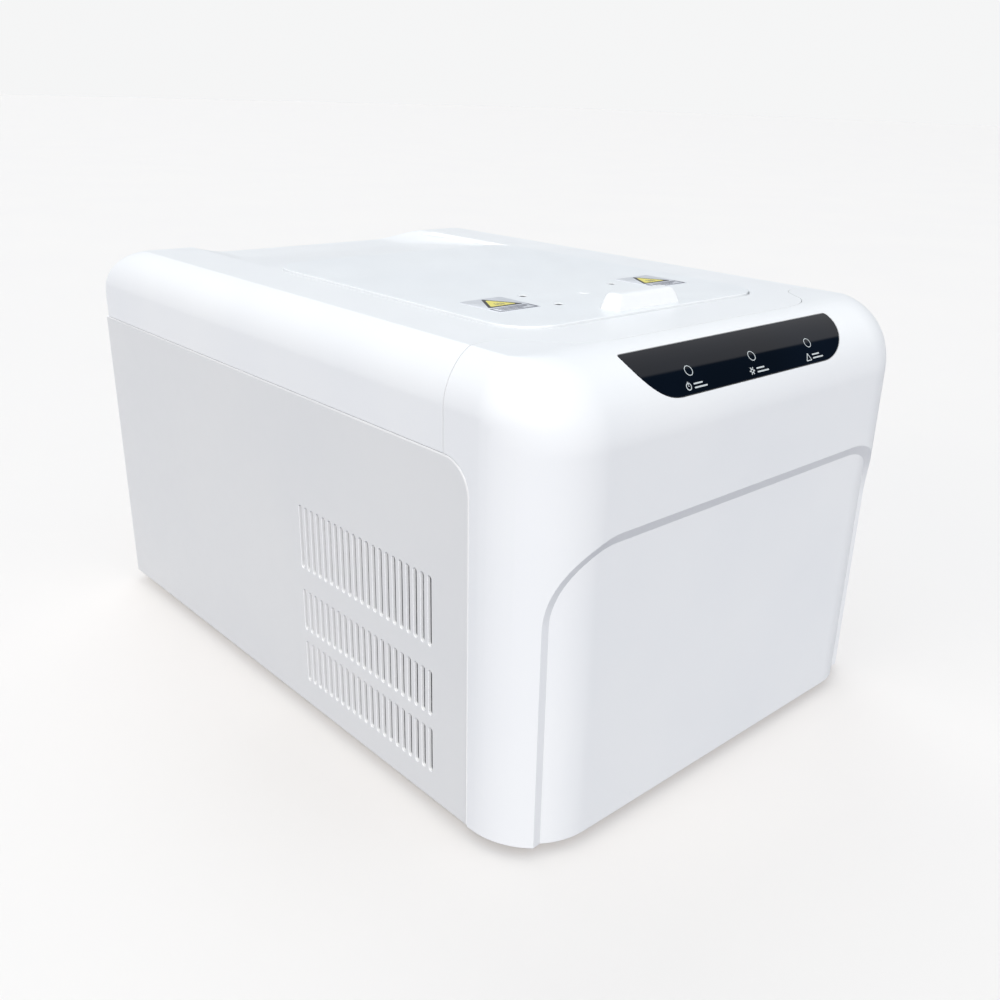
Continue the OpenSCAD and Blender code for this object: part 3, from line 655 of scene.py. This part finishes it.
def build_cover():
    """Top shell with the lid's pocket, the hatch and the scoop behind the lid."""
    shell = housing_skin(0)
    path_hw = lid_hi.x + LID_GAP
    pocket = rounded((-path_hw, lid_lo.y - LID_GAP), (path_hw, lid_hi.y + LID_TRAVEL + LID_GAP),
                     LID_R + LID_GAP, 14)
    pocket_tool = layered(pocket, [(0.4 * MM, POCKET_Z), (0, POCKET_Z + 0.4 * MM), (0, TOP - 0.5 * MM),
                                   (-0.4 * MM, TOP - 0.1 * MM), (-1.5 * MM, TOP + 1 * MM)])
    hatch = layered(rounded((-HATCH_HW, HATCH_FRONT), (HATCH_HW, HATCH_REAR), HATCH_R),
                    [(0, TOP - 20 * MM), (0, POCKET_Z - 0.6 * MM), (-0.6 * MM, POCKET_Z),
                     (-1.6 * MM, POCKET_Z + 1 * MM)])
    below = box_tool((-0.2, -0.3, -0.01), (0.2, 0.3, SIDE_TOP + GAP))
    cut(shell, [scoop_tool(), pocket_tool, below, before_seam(GAP)])
    core = housing_skin(WALL)
    keep = box_tool((lid_lo.x - 6 * MM, lid_lo.y - 5 * MM, POCKET_Z - WALL),
                    (lid_hi.x + 6 * MM, lid_hi.y + 10 * MM, TOP + 0.1))
    cut(core, [keep, scoop_tool(WALL)])
    cut(shell, [core, hatch])
    soften(shell, 1.0 * MM, 23)
    shell.name = "cover_shell"
    return dress(shell, WHITE, "housing", ["top_cover"])


def scoop_tool(drop=0.0):
    """Cutter for the scoop: sections that deepen and narrow towards the rear."""
    start = lid_hi.y - 20 * MM
    end = REAR + 20 * MM
    fall = REAR - REAR_R - lid_hi.y
    edge = lid_hi.x + LID_GAP + drop
    narrowing = 25 * MM
    fillet = 8 * MM
    lip = 0.6 * MM
    rows = []
    for i in range(29):
        y = start + (end - start) * i / 28
        t = min(max((y - lid_hi.y) / fall, 0.0), 1.15)
        ease = t * t * (3 - 2 * t) if t < 1 else 1 + 0.3 * (t - 1)
        floor_z = POCKET_Z + (SCOOP_Z - POCKET_Z) * ease - drop
        floor_hw = edge - narrowing * ease
        depth = TOP - floor_z
        half = [(floor_hw - fillet, floor_z)]
        for k in range(1, 13):
            u = k / 12
            x = floor_hw - fillet + (edge + lip - floor_hw + fillet) * u
            half.append((x, floor_z + depth * u ** (1.6 + 3 * (1 - ease))))
        half.append((edge + 4 * MM, TOP + 4 * MM))
        rows.append([(x, y, z) for x, z in mirrored(half)])
    return loft(rows)


def vent_slots(side):
    """All the slots of one side panel as one cutter: three rows with softened mouths."""
    half = SLOT_W / 2
    slots = []
    for low, high in VENT_ROWS:
        for i in range(SLOT_COUNT):
            y = SLOT_START + i * SLOT_PITCH
            outline = rounded((y - half, LOW + low), (y + half, LOW + high), half * 0.999, 6)
            slots.append(layered(outline, [(-0.6 * MM, -0.4 * MM), (-0.05 * MM, 0.15 * MM), (0, 0.3 * MM),
                                           (0, GRILLE_T + 1 * MM)], as_yz(side)))
    return join("slots", slots)


def vent_backs(side):
    """The thicker strips behind the rows, which make the slots deep."""
    near = SLOT_START - SLOT_W
    far = SLOT_START + (SLOT_COUNT - 1) * SLOT_PITCH + SLOT_W
    strips = []
    for low, high in VENT_ROWS:
        outline = rounded((near, LOW + low - 1.5 * MM), (far, LOW + high + 1.5 * MM), 2 * MM, 4)
        strips.append(layered(outline, [(0, PANEL_T / 2), (0, GRILLE_T)], as_yz(side)))
    return join("backs", strips)


def build_side_panel(side, name, node):
    """Painted panel with a rolled edge, three rows of vents and lighter cut edges: the lighter paint is a
    painted highlight.
    """
    outline = panel_outline(-PANEL_SHY, panel_hi.y, LOW)
    roll = [(1.2 * MM, 0), (0.75 * MM, 0.1 * MM), (0.35 * MM, 0.36 * MM), (0.1 * MM, 0.75 * MM),
            (0, 1.2 * MM), (0, PANEL_T)]
    panel = layered(outline, roll, as_yz(side))
    cut(panel, [vent_backs(side)], "UNION")
    cut(panel, [vent_slots(side)])
    crease(panel, 30)
    weigh(panel)
    panel.name = name
    dress(panel, PANEL, "housing", [node])
    panel.data.materials.append(PANEL_EDGE_HIGHLIGHT)
    # Faces that do not face sideways (slot walls and the rolled edge) get the lighter paint, a painted
    # highlight
    for face in panel.data.polygons:
        if abs(face.normal.x) < 0.75:
            face.material_index = 1
    return panel


# ---------------------------------------------------------------- front pieces


def build_lens():
    """Smoked lens on the brow, with a rounded rim."""
    profile = [(0, 1.6 * MM), (0, 0.35 * MM), (0.1 * MM, 0.12 * MM), (0.35 * MM, 0.0)]
    lens = layered(lens_outline(0), profile, wrap_brow, BROW_STRIPS)
    crease(lens, 35)
    weigh(lens)
    lens.name = "lens_smoked"
    return dress(lens, LENS, "housing", ["indicator_lens"])


# The three lights' pitch, and how far up the brow they and their marks are
LIGHT_PITCH = 52 * MM
LIGHT_S = 29.25 * MM
MARK_S = 19.3 * MM

# How far the ink stands out of the lens, and how far it reaches in
PRINT_T = 0.06 * MM
PRINT_ROOT = 0.02 * MM


def flat_ring(centre, outer, inner, steps=40):
    """Printed ring on the lens: a thin annulus bent over the brow."""
    bm = bmesh.new()
    loops = [(outer, PRINT_ROOT), (outer, -PRINT_T), (inner, -PRINT_T), (inner, PRINT_ROOT)]
    rows = [[bm.verts.new(wrap_brow(*point, depth)) for point in circle(centre, radius, steps)]
            for radius, depth in loops]
    for k, row in enumerate(rows):
        other = rows[(k + 1) % len(rows)]
        for i in range(steps):
            j = (i + 1) % steps
            bm.faces.new((row[i], row[j], other[j], other[i]))
    return add_object("ring", bm)


def print_shape(outline):
    """Printed shape on the lens, bent over the brow."""
    return layered(outline, [(0, PRINT_ROOT), (0, -PRINT_T)], wrap_brow, PRINT_STRIPS)


def bar(x0, x1, s0, s1):
    """Printed bar with round ends."""
    return print_shape(rounded((x0, s0), (x1, s1), (s1 - s0) * 0.49, 4))


def build_prints():
    """Rings round the three lights, with a plain pictogram and two bars under each."""
    marks = []
    low = MARK_S
    middle = low + 2 * MM
    for i in (-1, 0, 1):
        x = i * LIGHT_PITCH
        marks.append(flat_ring((x, LIGHT_S), 2.85 * MM, 2.45 * MM))
        icon = x - 4.5 * MM
        if i == -1:
            marks.append(flat_ring((icon, middle), 2.0 * MM, 1.5 * MM))
            marks.append(bar(icon - 0.28 * MM, icon + 0.28 * MM, middle, middle + 2.4 * MM))
        elif i == 0:
            marks.append(flat_ring((icon, middle), 1.3 * MM, 0.7 * MM))
            for k in range(6):
                a = math.radians(60 * k)
                c = (icon + 1.8 * MM * math.cos(a), middle + 1.8 * MM * math.sin(a))
                marks.append(print_shape(circle(c, 0.4 * MM, 10)))
        else:
            outer = [(icon - 2.3 * MM, low), (icon + 2.3 * MM, low), (icon, low + 4 * MM)]
            for k in range(3):
                a, b = Vector(outer[k]), Vector(outer[(k + 1) % 3])
                side = (b - a).normalized().orthogonal() * 0.26 * MM
                marks.append(print_shape([tuple(p) for p in (a - side, b - side, b + side, a + side)]))
        marks.append(bar(x - 0.5 * MM, x + 9.5 * MM, low + 0.4 * MM, low + 1.2 * MM))
        marks.append(bar(x - 0.5 * MM, x + 6.5 * MM, low + 2.4 * MM, low + 3.2 * MM))
    prints = join("lens_prints", marks)
    return dress(prints, PRINT_LIGHT, "housing")


# ---------------------------------------------------------------- lid


# The two rows of screws, from the CAD's box round all four
SCREW_Y = (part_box("lid_screws")[0].y + SCREW_FOOT_R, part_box("lid_screws")[1].y - SCREW_FOOT_R)


def build_lid():
    """Sliding lid: a flat panel with large corner radii and a rolled edge."""
    outline = rounded((lid_lo.x, lid_lo.y), (lid_hi.x, lid_hi.y), LID_R, 16)
    low, high = lid_lo.z, lid_hi.z
    lid = layered(outline, [(0.3 * MM, low), (0, low + 0.3 * MM), (0, high - 0.5 * MM),
                            (0.07 * MM, high - 0.25 * MM), (0.25 * MM, high - 0.07 * MM), (0.5 * MM, high)])
    holes = []
    for x in (-SCREW_X, SCREW_X):
        for y in SCREW_Y:
            holes.append(layered(circle((x, y), 2.75 * MM), [(0, low - 1 * MM), (0, high - 0.35 * MM),
                                                             (-0.4 * MM, high + 0.05 * MM)]))
    cut(lid, [join("holes", holes)])
    crease(lid, 32)
    weigh(lid)
    lid.name = "lid_shell_panel"
    return dress(lid, LID_WHITE, "lid", ["lid_panel"])


def build_springs():
    """Coil springs between the hot plate and the carriage, with flat ground ends."""
    lo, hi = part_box("plate_springs")
    radius = SPRING_OUTER / 2 - SPRING_WIRE / 2
    low, high = lo.z + SPRING_WIRE / 2, hi.z - SPRING_WIRE / 2
    steps = int(SPRING_TURNS * SPRING_STEPS)
    coils = []
    for x in (lo.x + SPRING_OUTER / 2, hi.x - SPRING_OUTER / 2):
        for y in (lo.y + SPRING_OUTER / 2, hi.y - SPRING_OUTER / 2):
            rings = []
            for i in range(steps + 1):
                turn = i / SPRING_STEPS
                climb = min(1, max(0, (turn - SPRING_FLAT) / (SPRING_TURNS - 2 * SPRING_FLAT)))
                angle = math.radians(360 * turn)
                out = Vector((math.cos(angle), math.sin(angle), 0))
                heart = Vector((x, y, low + (high - low) * climb))
                section = circle((radius, 0), SPRING_WIRE / 2, 8)
                rings.append([heart + out * a + Vector((0, 0, b)) for a, b in section])
            coils.append(loft(rings))
    spring = join("hot_plate_springs", coils)
    crease(spring, 60)
    dress(spring, STEEL, "lid", ["plate_springs"])
    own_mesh(spring)
    return spring


def build_grip():
    """Push block: tapered towards its top, with round upright and top edges."""
    lo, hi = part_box("grip_block")
    half_w = (hi.x - lo.x) / 2
    high = hi.z - lo.z
    rows = []
    for share, in_end, in_front, in_rear in ((0, 0, 0, 0), (0.12, 0.2, 0.2, 0.1), (0.5, 1.5, 0.9, 0.6),
                                             (0.78, 2.6, 1.8, 1.1), (0.9, 3.4, 2.5, 1.7),
                                             (0.97, 4.4, 3.4, 2.5), (1, 5.6, 4.3, 3.4)):
        left = -half_w + in_end * MM
        ring = rounded((left, lo.y + in_front * MM), (-left, hi.y - in_rear * MM), 2.4 * MM, 7)
        rows.append([(p[0], p[1], lo.z + high * share) for p in ring])
    grip = loft(rows)
    crease(grip, 50)
    weigh(grip)
    grip.name = "grip_moulding"
    return dress(grip, WHITE, "lid", ["grip_block"])


def build_lid_screws():
    """Four socket screws sunk in the lid, with the shanks that carry the hot plate."""
    lo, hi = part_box("lid_screws")
    screws = []
    for x in (-SCREW_X, SCREW_X):
        for y in SCREW_Y:
            head_low = lid_lo.z
            head = layered(circle((x, y), 2.3 * MM), [(0, head_low), (0, hi.z - 0.35 * MM),
                                                      (0.3 * MM, hi.z - 0.05 * MM), (0.5 * MM, hi.z)])
            socket = layered(circle((x, y), 1.25 * MM, 6), [(0, hi.z - 1.4 * MM), (0, hi.z + 1 * MM)])
            cut(head, [socket])
            shank = layered(circle((x, y), 1.5 * MM, 20), [(0, lo.z + 2.2 * MM), (0, head_low)])
            foot = layered(circle((x, y), SCREW_FOOT_R, 24), [(0.4 * MM, lo.z), (0, lo.z + 0.4 * MM),
                                                          (0, lo.z + 1.9 * MM), (0.4 * MM, lo.z + 2.3 * MM)])
            screws += [head, shank, foot]
    piece = join("lid_screw_set", screws)
    return dress(piece, DARK_STEEL, "lid", ["lid_screws"])


def build_plug():
    """Domed white plug in the middle of the screws."""
    lo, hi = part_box("centre_plug")
    c = ((lo.x + hi.x) / 2, (lo.y + hi.y) / 2)
    plug = layered(circle(c, 3.2 * MM, 36), [(0, lid_hi.z - 0.5 * MM), (0, lid_hi.z + 0.1 * MM),
                                             (0.3 * MM, hi.z - 0.08 * MM), (1.1 * MM, hi.z)])
    stem = layered(circle(c, 1.6 * MM, 24), [(0, lo.z + 1 * MM), (0, lid_hi.z - 0.4 * MM)])
    washer = layered(circle(c, 3 * MM, 30), [(0.2 * MM, lo.z), (0, lo.z + 0.2 * MM), (0, lo.z + 1.1 * MM)])
    piece = join("centre_plug_cap", [plug, stem, washer])
    return dress(piece, WHITE, "lid", ["centre_plug"])


def triangle(centre, base_y, half, height):
    """Upright triangle with slightly rounded corners."""
    points = [(centre - half, base_y), (centre + half, base_y), (centre, base_y + height)]
    r = 0.9 * MM
    inner = inset(points, r)
    outline = []
    for k, start in ((0, 150), (1, -90), (2, 30)):
        outline += arc((inner[k].x, inner[k].y), r, start, start + 120, 5)
    return outline


# Width and length of a hot-surface sign
PLATE_W = 31 * MM
PLATE_L = 35 * MM


def build_hazard_plates():
    """Two film plates, each with a plain triangle and an empty caption frame."""
    lo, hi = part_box("hazard_plates")
    z = lo.z
    plates, borders, fills, frames = [], [], [], []
    spots = [(lo.x, lo.x + PLATE_W, lo.y, lo.y + PLATE_L), (hi.x - PLATE_W, hi.x, hi.y - PLATE_L, hi.y)]
    for x0, x1, y0, y1 in spots:
        plates.append(layered(rounded((x0, y0), (x1, y1), 1.5 * MM, 5),
                              [(0, z), (0, z + 0.16 * MM), (0.1 * MM, z + 0.22 * MM)]))
        middle = (x0 + x1) / 2
        base = y0 + 12.2 * MM
        borders.append(layered(triangle(middle, base, 12.9 * MM, 21.6 * MM),
                               [(0, z + 0.2 * MM), (0, z + 0.27 * MM)]))
        fills.append(layered(triangle(middle, base + 2.0 * MM, 9.5 * MM, 16.0 * MM),
                             [(0, z + 0.25 * MM), (0, z + 0.32 * MM)]))
        for k in (-1, 0, 1):
            mark_x = middle + k * 2.2 * MM
            frames.append(layered(rounded((mark_x - 0.45 * MM, base + 3.6 * MM),
                                          (mark_x + 0.45 * MM, base + 8.2 * MM), 0.4 * MM, 3),
                                  [(0, z + 0.3 * MM), (0, z + 0.36 * MM)]))
        for top, low, left, right in ((9.9, 8.9, 1.2, 29.8), (2.1, 1.1, 1.2, 29.8),
                                      (9.5, 1.5, 1.2, 2.2), (9.5, 1.5, 28.8, 29.8),
                                      (7.6, 6.3, 5, 26), (4.9, 3.6, 5, 21)):
            frames.append(layered(rounded((x0 + left * MM, y0 + low * MM), (x0 + right * MM, y0 + top * MM),
                                          0.28 * MM, 2),
                                  [(0, z + 0.2 * MM), (0, z + 0.27 * MM)]))
    dress(join("hazard_film", plates), FILM, "lid", ["hazard_plates"])
    dress(join("hazard_border", borders), PRINT_DARK, "lid")
    dress(join("hazard_fill", fills), YELLOW, "lid", ["hazard_triangles"])
    dress(join("hazard_marks", frames), FILM_MARK, "lid")


# ---------------------------------------------------------------- rear, feet and carried-over nodes


def build_feet():
    """Four turned rubber feet with a chamfer, a tread ring and a screw recess."""
    lo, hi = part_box("foot_pads")
    feet = []
    radius = 12 * MM
    for x in (lo.x + radius, hi.x - radius):
        for y in (lo.y + radius, hi.y - radius):
            profile = [(8.5 * MM, 2 * MM), (8.5 * MM, 0.5 * MM), (6.5 * MM, 0.5 * MM), (6.2 * MM, 0),
                       (1.2 * MM, 0), (0.4 * MM, 0.35 * MM), (0, 1.2 * MM), (0.5 * MM, LOW - 0.6 * MM),
                       (1.0 * MM, LOW)]
            feet.append(layered(circle((x, y), radius, 48), profile))
    piece = join("foot_set", feet)
    return dress(piece, RUBBER, "housing", ["foot_pads"])


def finish_node(node, material, edge=0.0):
    """Gives a carried-over CAD node its material, and softly rounded edges if asked."""
    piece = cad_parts[node]
    piece.data.materials.clear()
    piece.data.materials.append(material)
    if edge:
        weld = piece.modifiers.new("weld", "WELD")
        weld.merge_threshold = 0.005 * MM
        step = piece.modifiers.new("edge", "BEVEL")
        step.width = edge
        step.segments = 2
        step.limit_method = "ANGLE"
        step.angle_limit = math.radians(35)
        weigh(piece)


# ---------------------------------------------------------------- build everything

build_bezel()
build_cover()
build_side_panel(-1, "panel_left", "side_panel_left")
build_side_panel(1, "panel_right", "side_panel_right")
build_lens()
build_prints()
build_lid()
build_grip()
build_springs()
build_lid_screws()
build_plug()
build_hazard_plates()
build_feet()

CARRIED = {
    "base_tray": (ZINC, 0), "rear_panel": (PANEL, 0), "light_pipes": (CLEAR, 0), "status_board": (BOARD, 0),
    "lid_carriage": (ZINC, 0.2 * MM), "slide_rods": (STEEL, 0), "rod_brackets": (ANODISED, 0.3 * MM),
    "heated_plate": (ALUMINIUM, 0.4 * MM), "heater_mat": (HEATER, 0), "plate_insulation": (FOAM, 0),
    "sample_block": (ALUMINIUM, 0), "block_frame": (WHITE, 0.3 * MM),
    "peltier_modules": (CERAMIC, 0), "heat_sink": (ANODISED, 0), "fan_frame_left": (BLACK, 0),
    "fan_frame_right": (BLACK, 0), "fan_rotor_left": (BLACK, 0), "fan_rotor_right": (BLACK, 0),
    "sink_posts": (ZINC, 0), "fan_screws": (STEEL, 0), "optics_case": (BLACK, 0.3 * MM),
    "optics_cover": (BLACK, 0.3 * MM), "filter_wheel": (ANODISED, 0), "wheel_shaft": (STEEL, 0),
    "stepper_motor": (DARK_STEEL, 0.3 * MM), "detector": (ZINC, 0), "light_source": (ANODISED, 0),
    "fibre_bundle": (RUBBER, 0), "power_supply": (ZINC, 0), "main_board": (BOARD, 0),
    "board_posts": (BRASS, 0), "inlet_socket": (BLACK, 0.3 * MM), "rocker_housing": (BLACK, 0.3 * MM),
    "power_rocker": (RED, 0.3 * MM), "usb_socket": (STEEL, 0.15 * MM), "rear_guard": (WIRE, 0.3 * MM),
    "panel_screws": (STEEL, 0.15 * MM),
}
for node, (material, edge) in CARRIED.items():
    finish_node(node, material, edge)

# ---------------------------------------------------------------- studio and camera

# Sky: its light from below to above, what reflections see, and what the camera sees
SKY_BELOW = (0.27, 0.29, 0.36)
SKY_LOW = (0.44, 0.45, 0.485)
SKY_HIGH = (0.535, 0.62, 0.705)
SKY_MIRROR = (0.45, 0.45, 0.46)
FLAG = (0.02, 0.035, 0.055)
BACKDROP = (0.915, 0.918, 0.92)


def heading(azimuth, elevation):
    """Unit vector from an azimuth, turned from -Y towards -X, and an elevation, in degrees."""
    a, e = math.radians(azimuth), math.radians(elevation)
    return Vector((-math.sin(a) * math.cos(e), -math.cos(a) * math.cos(e), math.sin(e)))


def add_sun(name, source, softness, strength, color, shine=True):
    """Soft light from a direction, with or without its own reflection in glossy surfaces."""
    data = bpy.data.lights.new(name, "SUN")
    data.angle = math.radians(softness)
    data.energy = strength
    data.color = color
    light = bpy.data.objects.new(name, data)
    light.location = source * 3
    light.visible_glossy = shine
    light.rotation_mode = "QUATERNION"
    light.rotation_quaternion = (-source).to_track_quat("-Z", "Y")
    bpy.context.scene.collection.objects.link(light)


def build_floor():
    """Pale floor that shows the object's shadow but throws no light back."""
    bm = bmesh.new()
    bmesh.ops.create_grid(bm, x_segments=40, y_segments=40, size=30)
    floor = add_object("studio_floor", bm)
    s = Shader("floor_paper", (0.885, 0.845, 0.805), 0.9)
    s.vary_color(s.noise(3, 2), (0.99, 0.99, 0.995))
    s.vary_roughness(s.noise(50, 2), 0.03)
    floor.data.materials.append(s.material)
    floor.visible_diffuse = False


def sky_ramp(tree, axis, stops):
    """Colours the sky along one axis: stops are (place from -1 to 1, colour) pairs."""
    rise = tree.nodes.new("ShaderNodeMapRange")
    rise.inputs["From Min"].default_value = -1
    tree.links.new(axis, rise.inputs["Value"])
    ramp = tree.nodes.new("ShaderNodeValToRGB")
    for _ in stops[2:]:
        ramp.color_ramp.elements.new(0.5)
    for element, (level, color) in zip(ramp.color_ramp.elements, stops):
        element.position = (level + 1) / 2
        element.color = (*color, 1)
    shader = tree.nodes.new("ShaderNodeBackground")
    tree.links.new(rise.outputs["Result"], ramp.inputs["Fac"])
    tree.links.new(ramp.outputs["Color"], shader.inputs["Color"])
    return shader.outputs["Background"]


def build_sky():
    """Cool light from above, dark flags for reflections and a plain pale backdrop."""
    world = bpy.data.worlds.new("studio_sky")
    bpy.context.scene.world = world
    world.use_nodes = True
    tree = world.node_tree
    coords = tree.nodes.new("ShaderNodeTexCoord")
    split = tree.nodes.new("ShaderNodeSeparateXYZ")
    path = tree.nodes.new("ShaderNodeLightPath")
    tree.links.new(coords.outputs["Generated"], split.inputs["Vector"])
    up, back = split.outputs["Z"], split.outputs["Y"]
    light = sky_ramp(tree, up, [(-1, SKY_BELOW), (-0.1, SKY_BELOW), (0.05, SKY_LOW), (1, SKY_HIGH)])
    mirror = sky_ramp(tree, back, [(-1, FLAG), (-0.27, FLAG), (-0.24, SKY_MIRROR), (1, SKY_MIRROR)])
    plain = sky_ramp(tree, up, [(-1, BACKDROP), (1, BACKDROP)])
    shown = light
    for ray, other in (("Is Glossy Ray", mirror), ("Is Camera Ray", plain)):
        mix = tree.nodes.new("ShaderNodeMixShader")
        tree.links.new(path.outputs[ray], mix.inputs["Fac"])
        tree.links.new(shown, mix.inputs[1])
        tree.links.new(other, mix.inputs[2])
        shown = mix.outputs["Shader"]
    tree.links.new(shown, tree.nodes["World Output"].inputs["Surface"])


def build_studio():
    """Floor, sky and soft lights: a warm key near the camera and weak ones round the object."""
    build_floor()
    build_sky()
    add_sun("key_light", heading(42, 36), 20, 2.4, (1.0, 0.98, 0.955))
    add_sun("side_light", heading(100, 15), 30, 0.3, (1.0, 0.96, 0.91))
    add_sun("back_light", heading(215, 50), 30, 0.3, (0.95, 0.97, 1.0))
    add_sun("rear_light", heading(190, 6), 40, 0.8, (1.0, 0.99, 0.97), shine=False)


def build_camera():
    """Camera at the front left, a little above the housing."""
    data = bpy.data.cameras.new("camera")
    data.lens = 36.84
    data.sensor_width = 36
    data.shift_x = -0.0316
    data.shift_y = 0.0099
    data.clip_start = 0.01
    data.clip_end = 50
    camera = bpy.data.objects.new("camera", data)
    camera.location = (-0.4450, -0.5228, 0.3679)
    azimuth, elevation, roll = (math.radians(a) for a in (43.738, 21.989, 1.882))
    ahead = Vector((math.sin(azimuth) * math.cos(elevation), math.cos(azimuth) * math.cos(elevation),
                    -math.sin(elevation)))
    camera.rotation_mode = "QUATERNION"
    camera.rotation_quaternion = Quaternion(ahead, -roll) @ ahead.to_track_quat("-Z", "Y")
    bpy.context.scene.collection.objects.link(camera)
    bpy.context.scene.camera = camera


build_studio()
build_camera()
bpy.context.scene.view_settings.view_transform = "Standard"
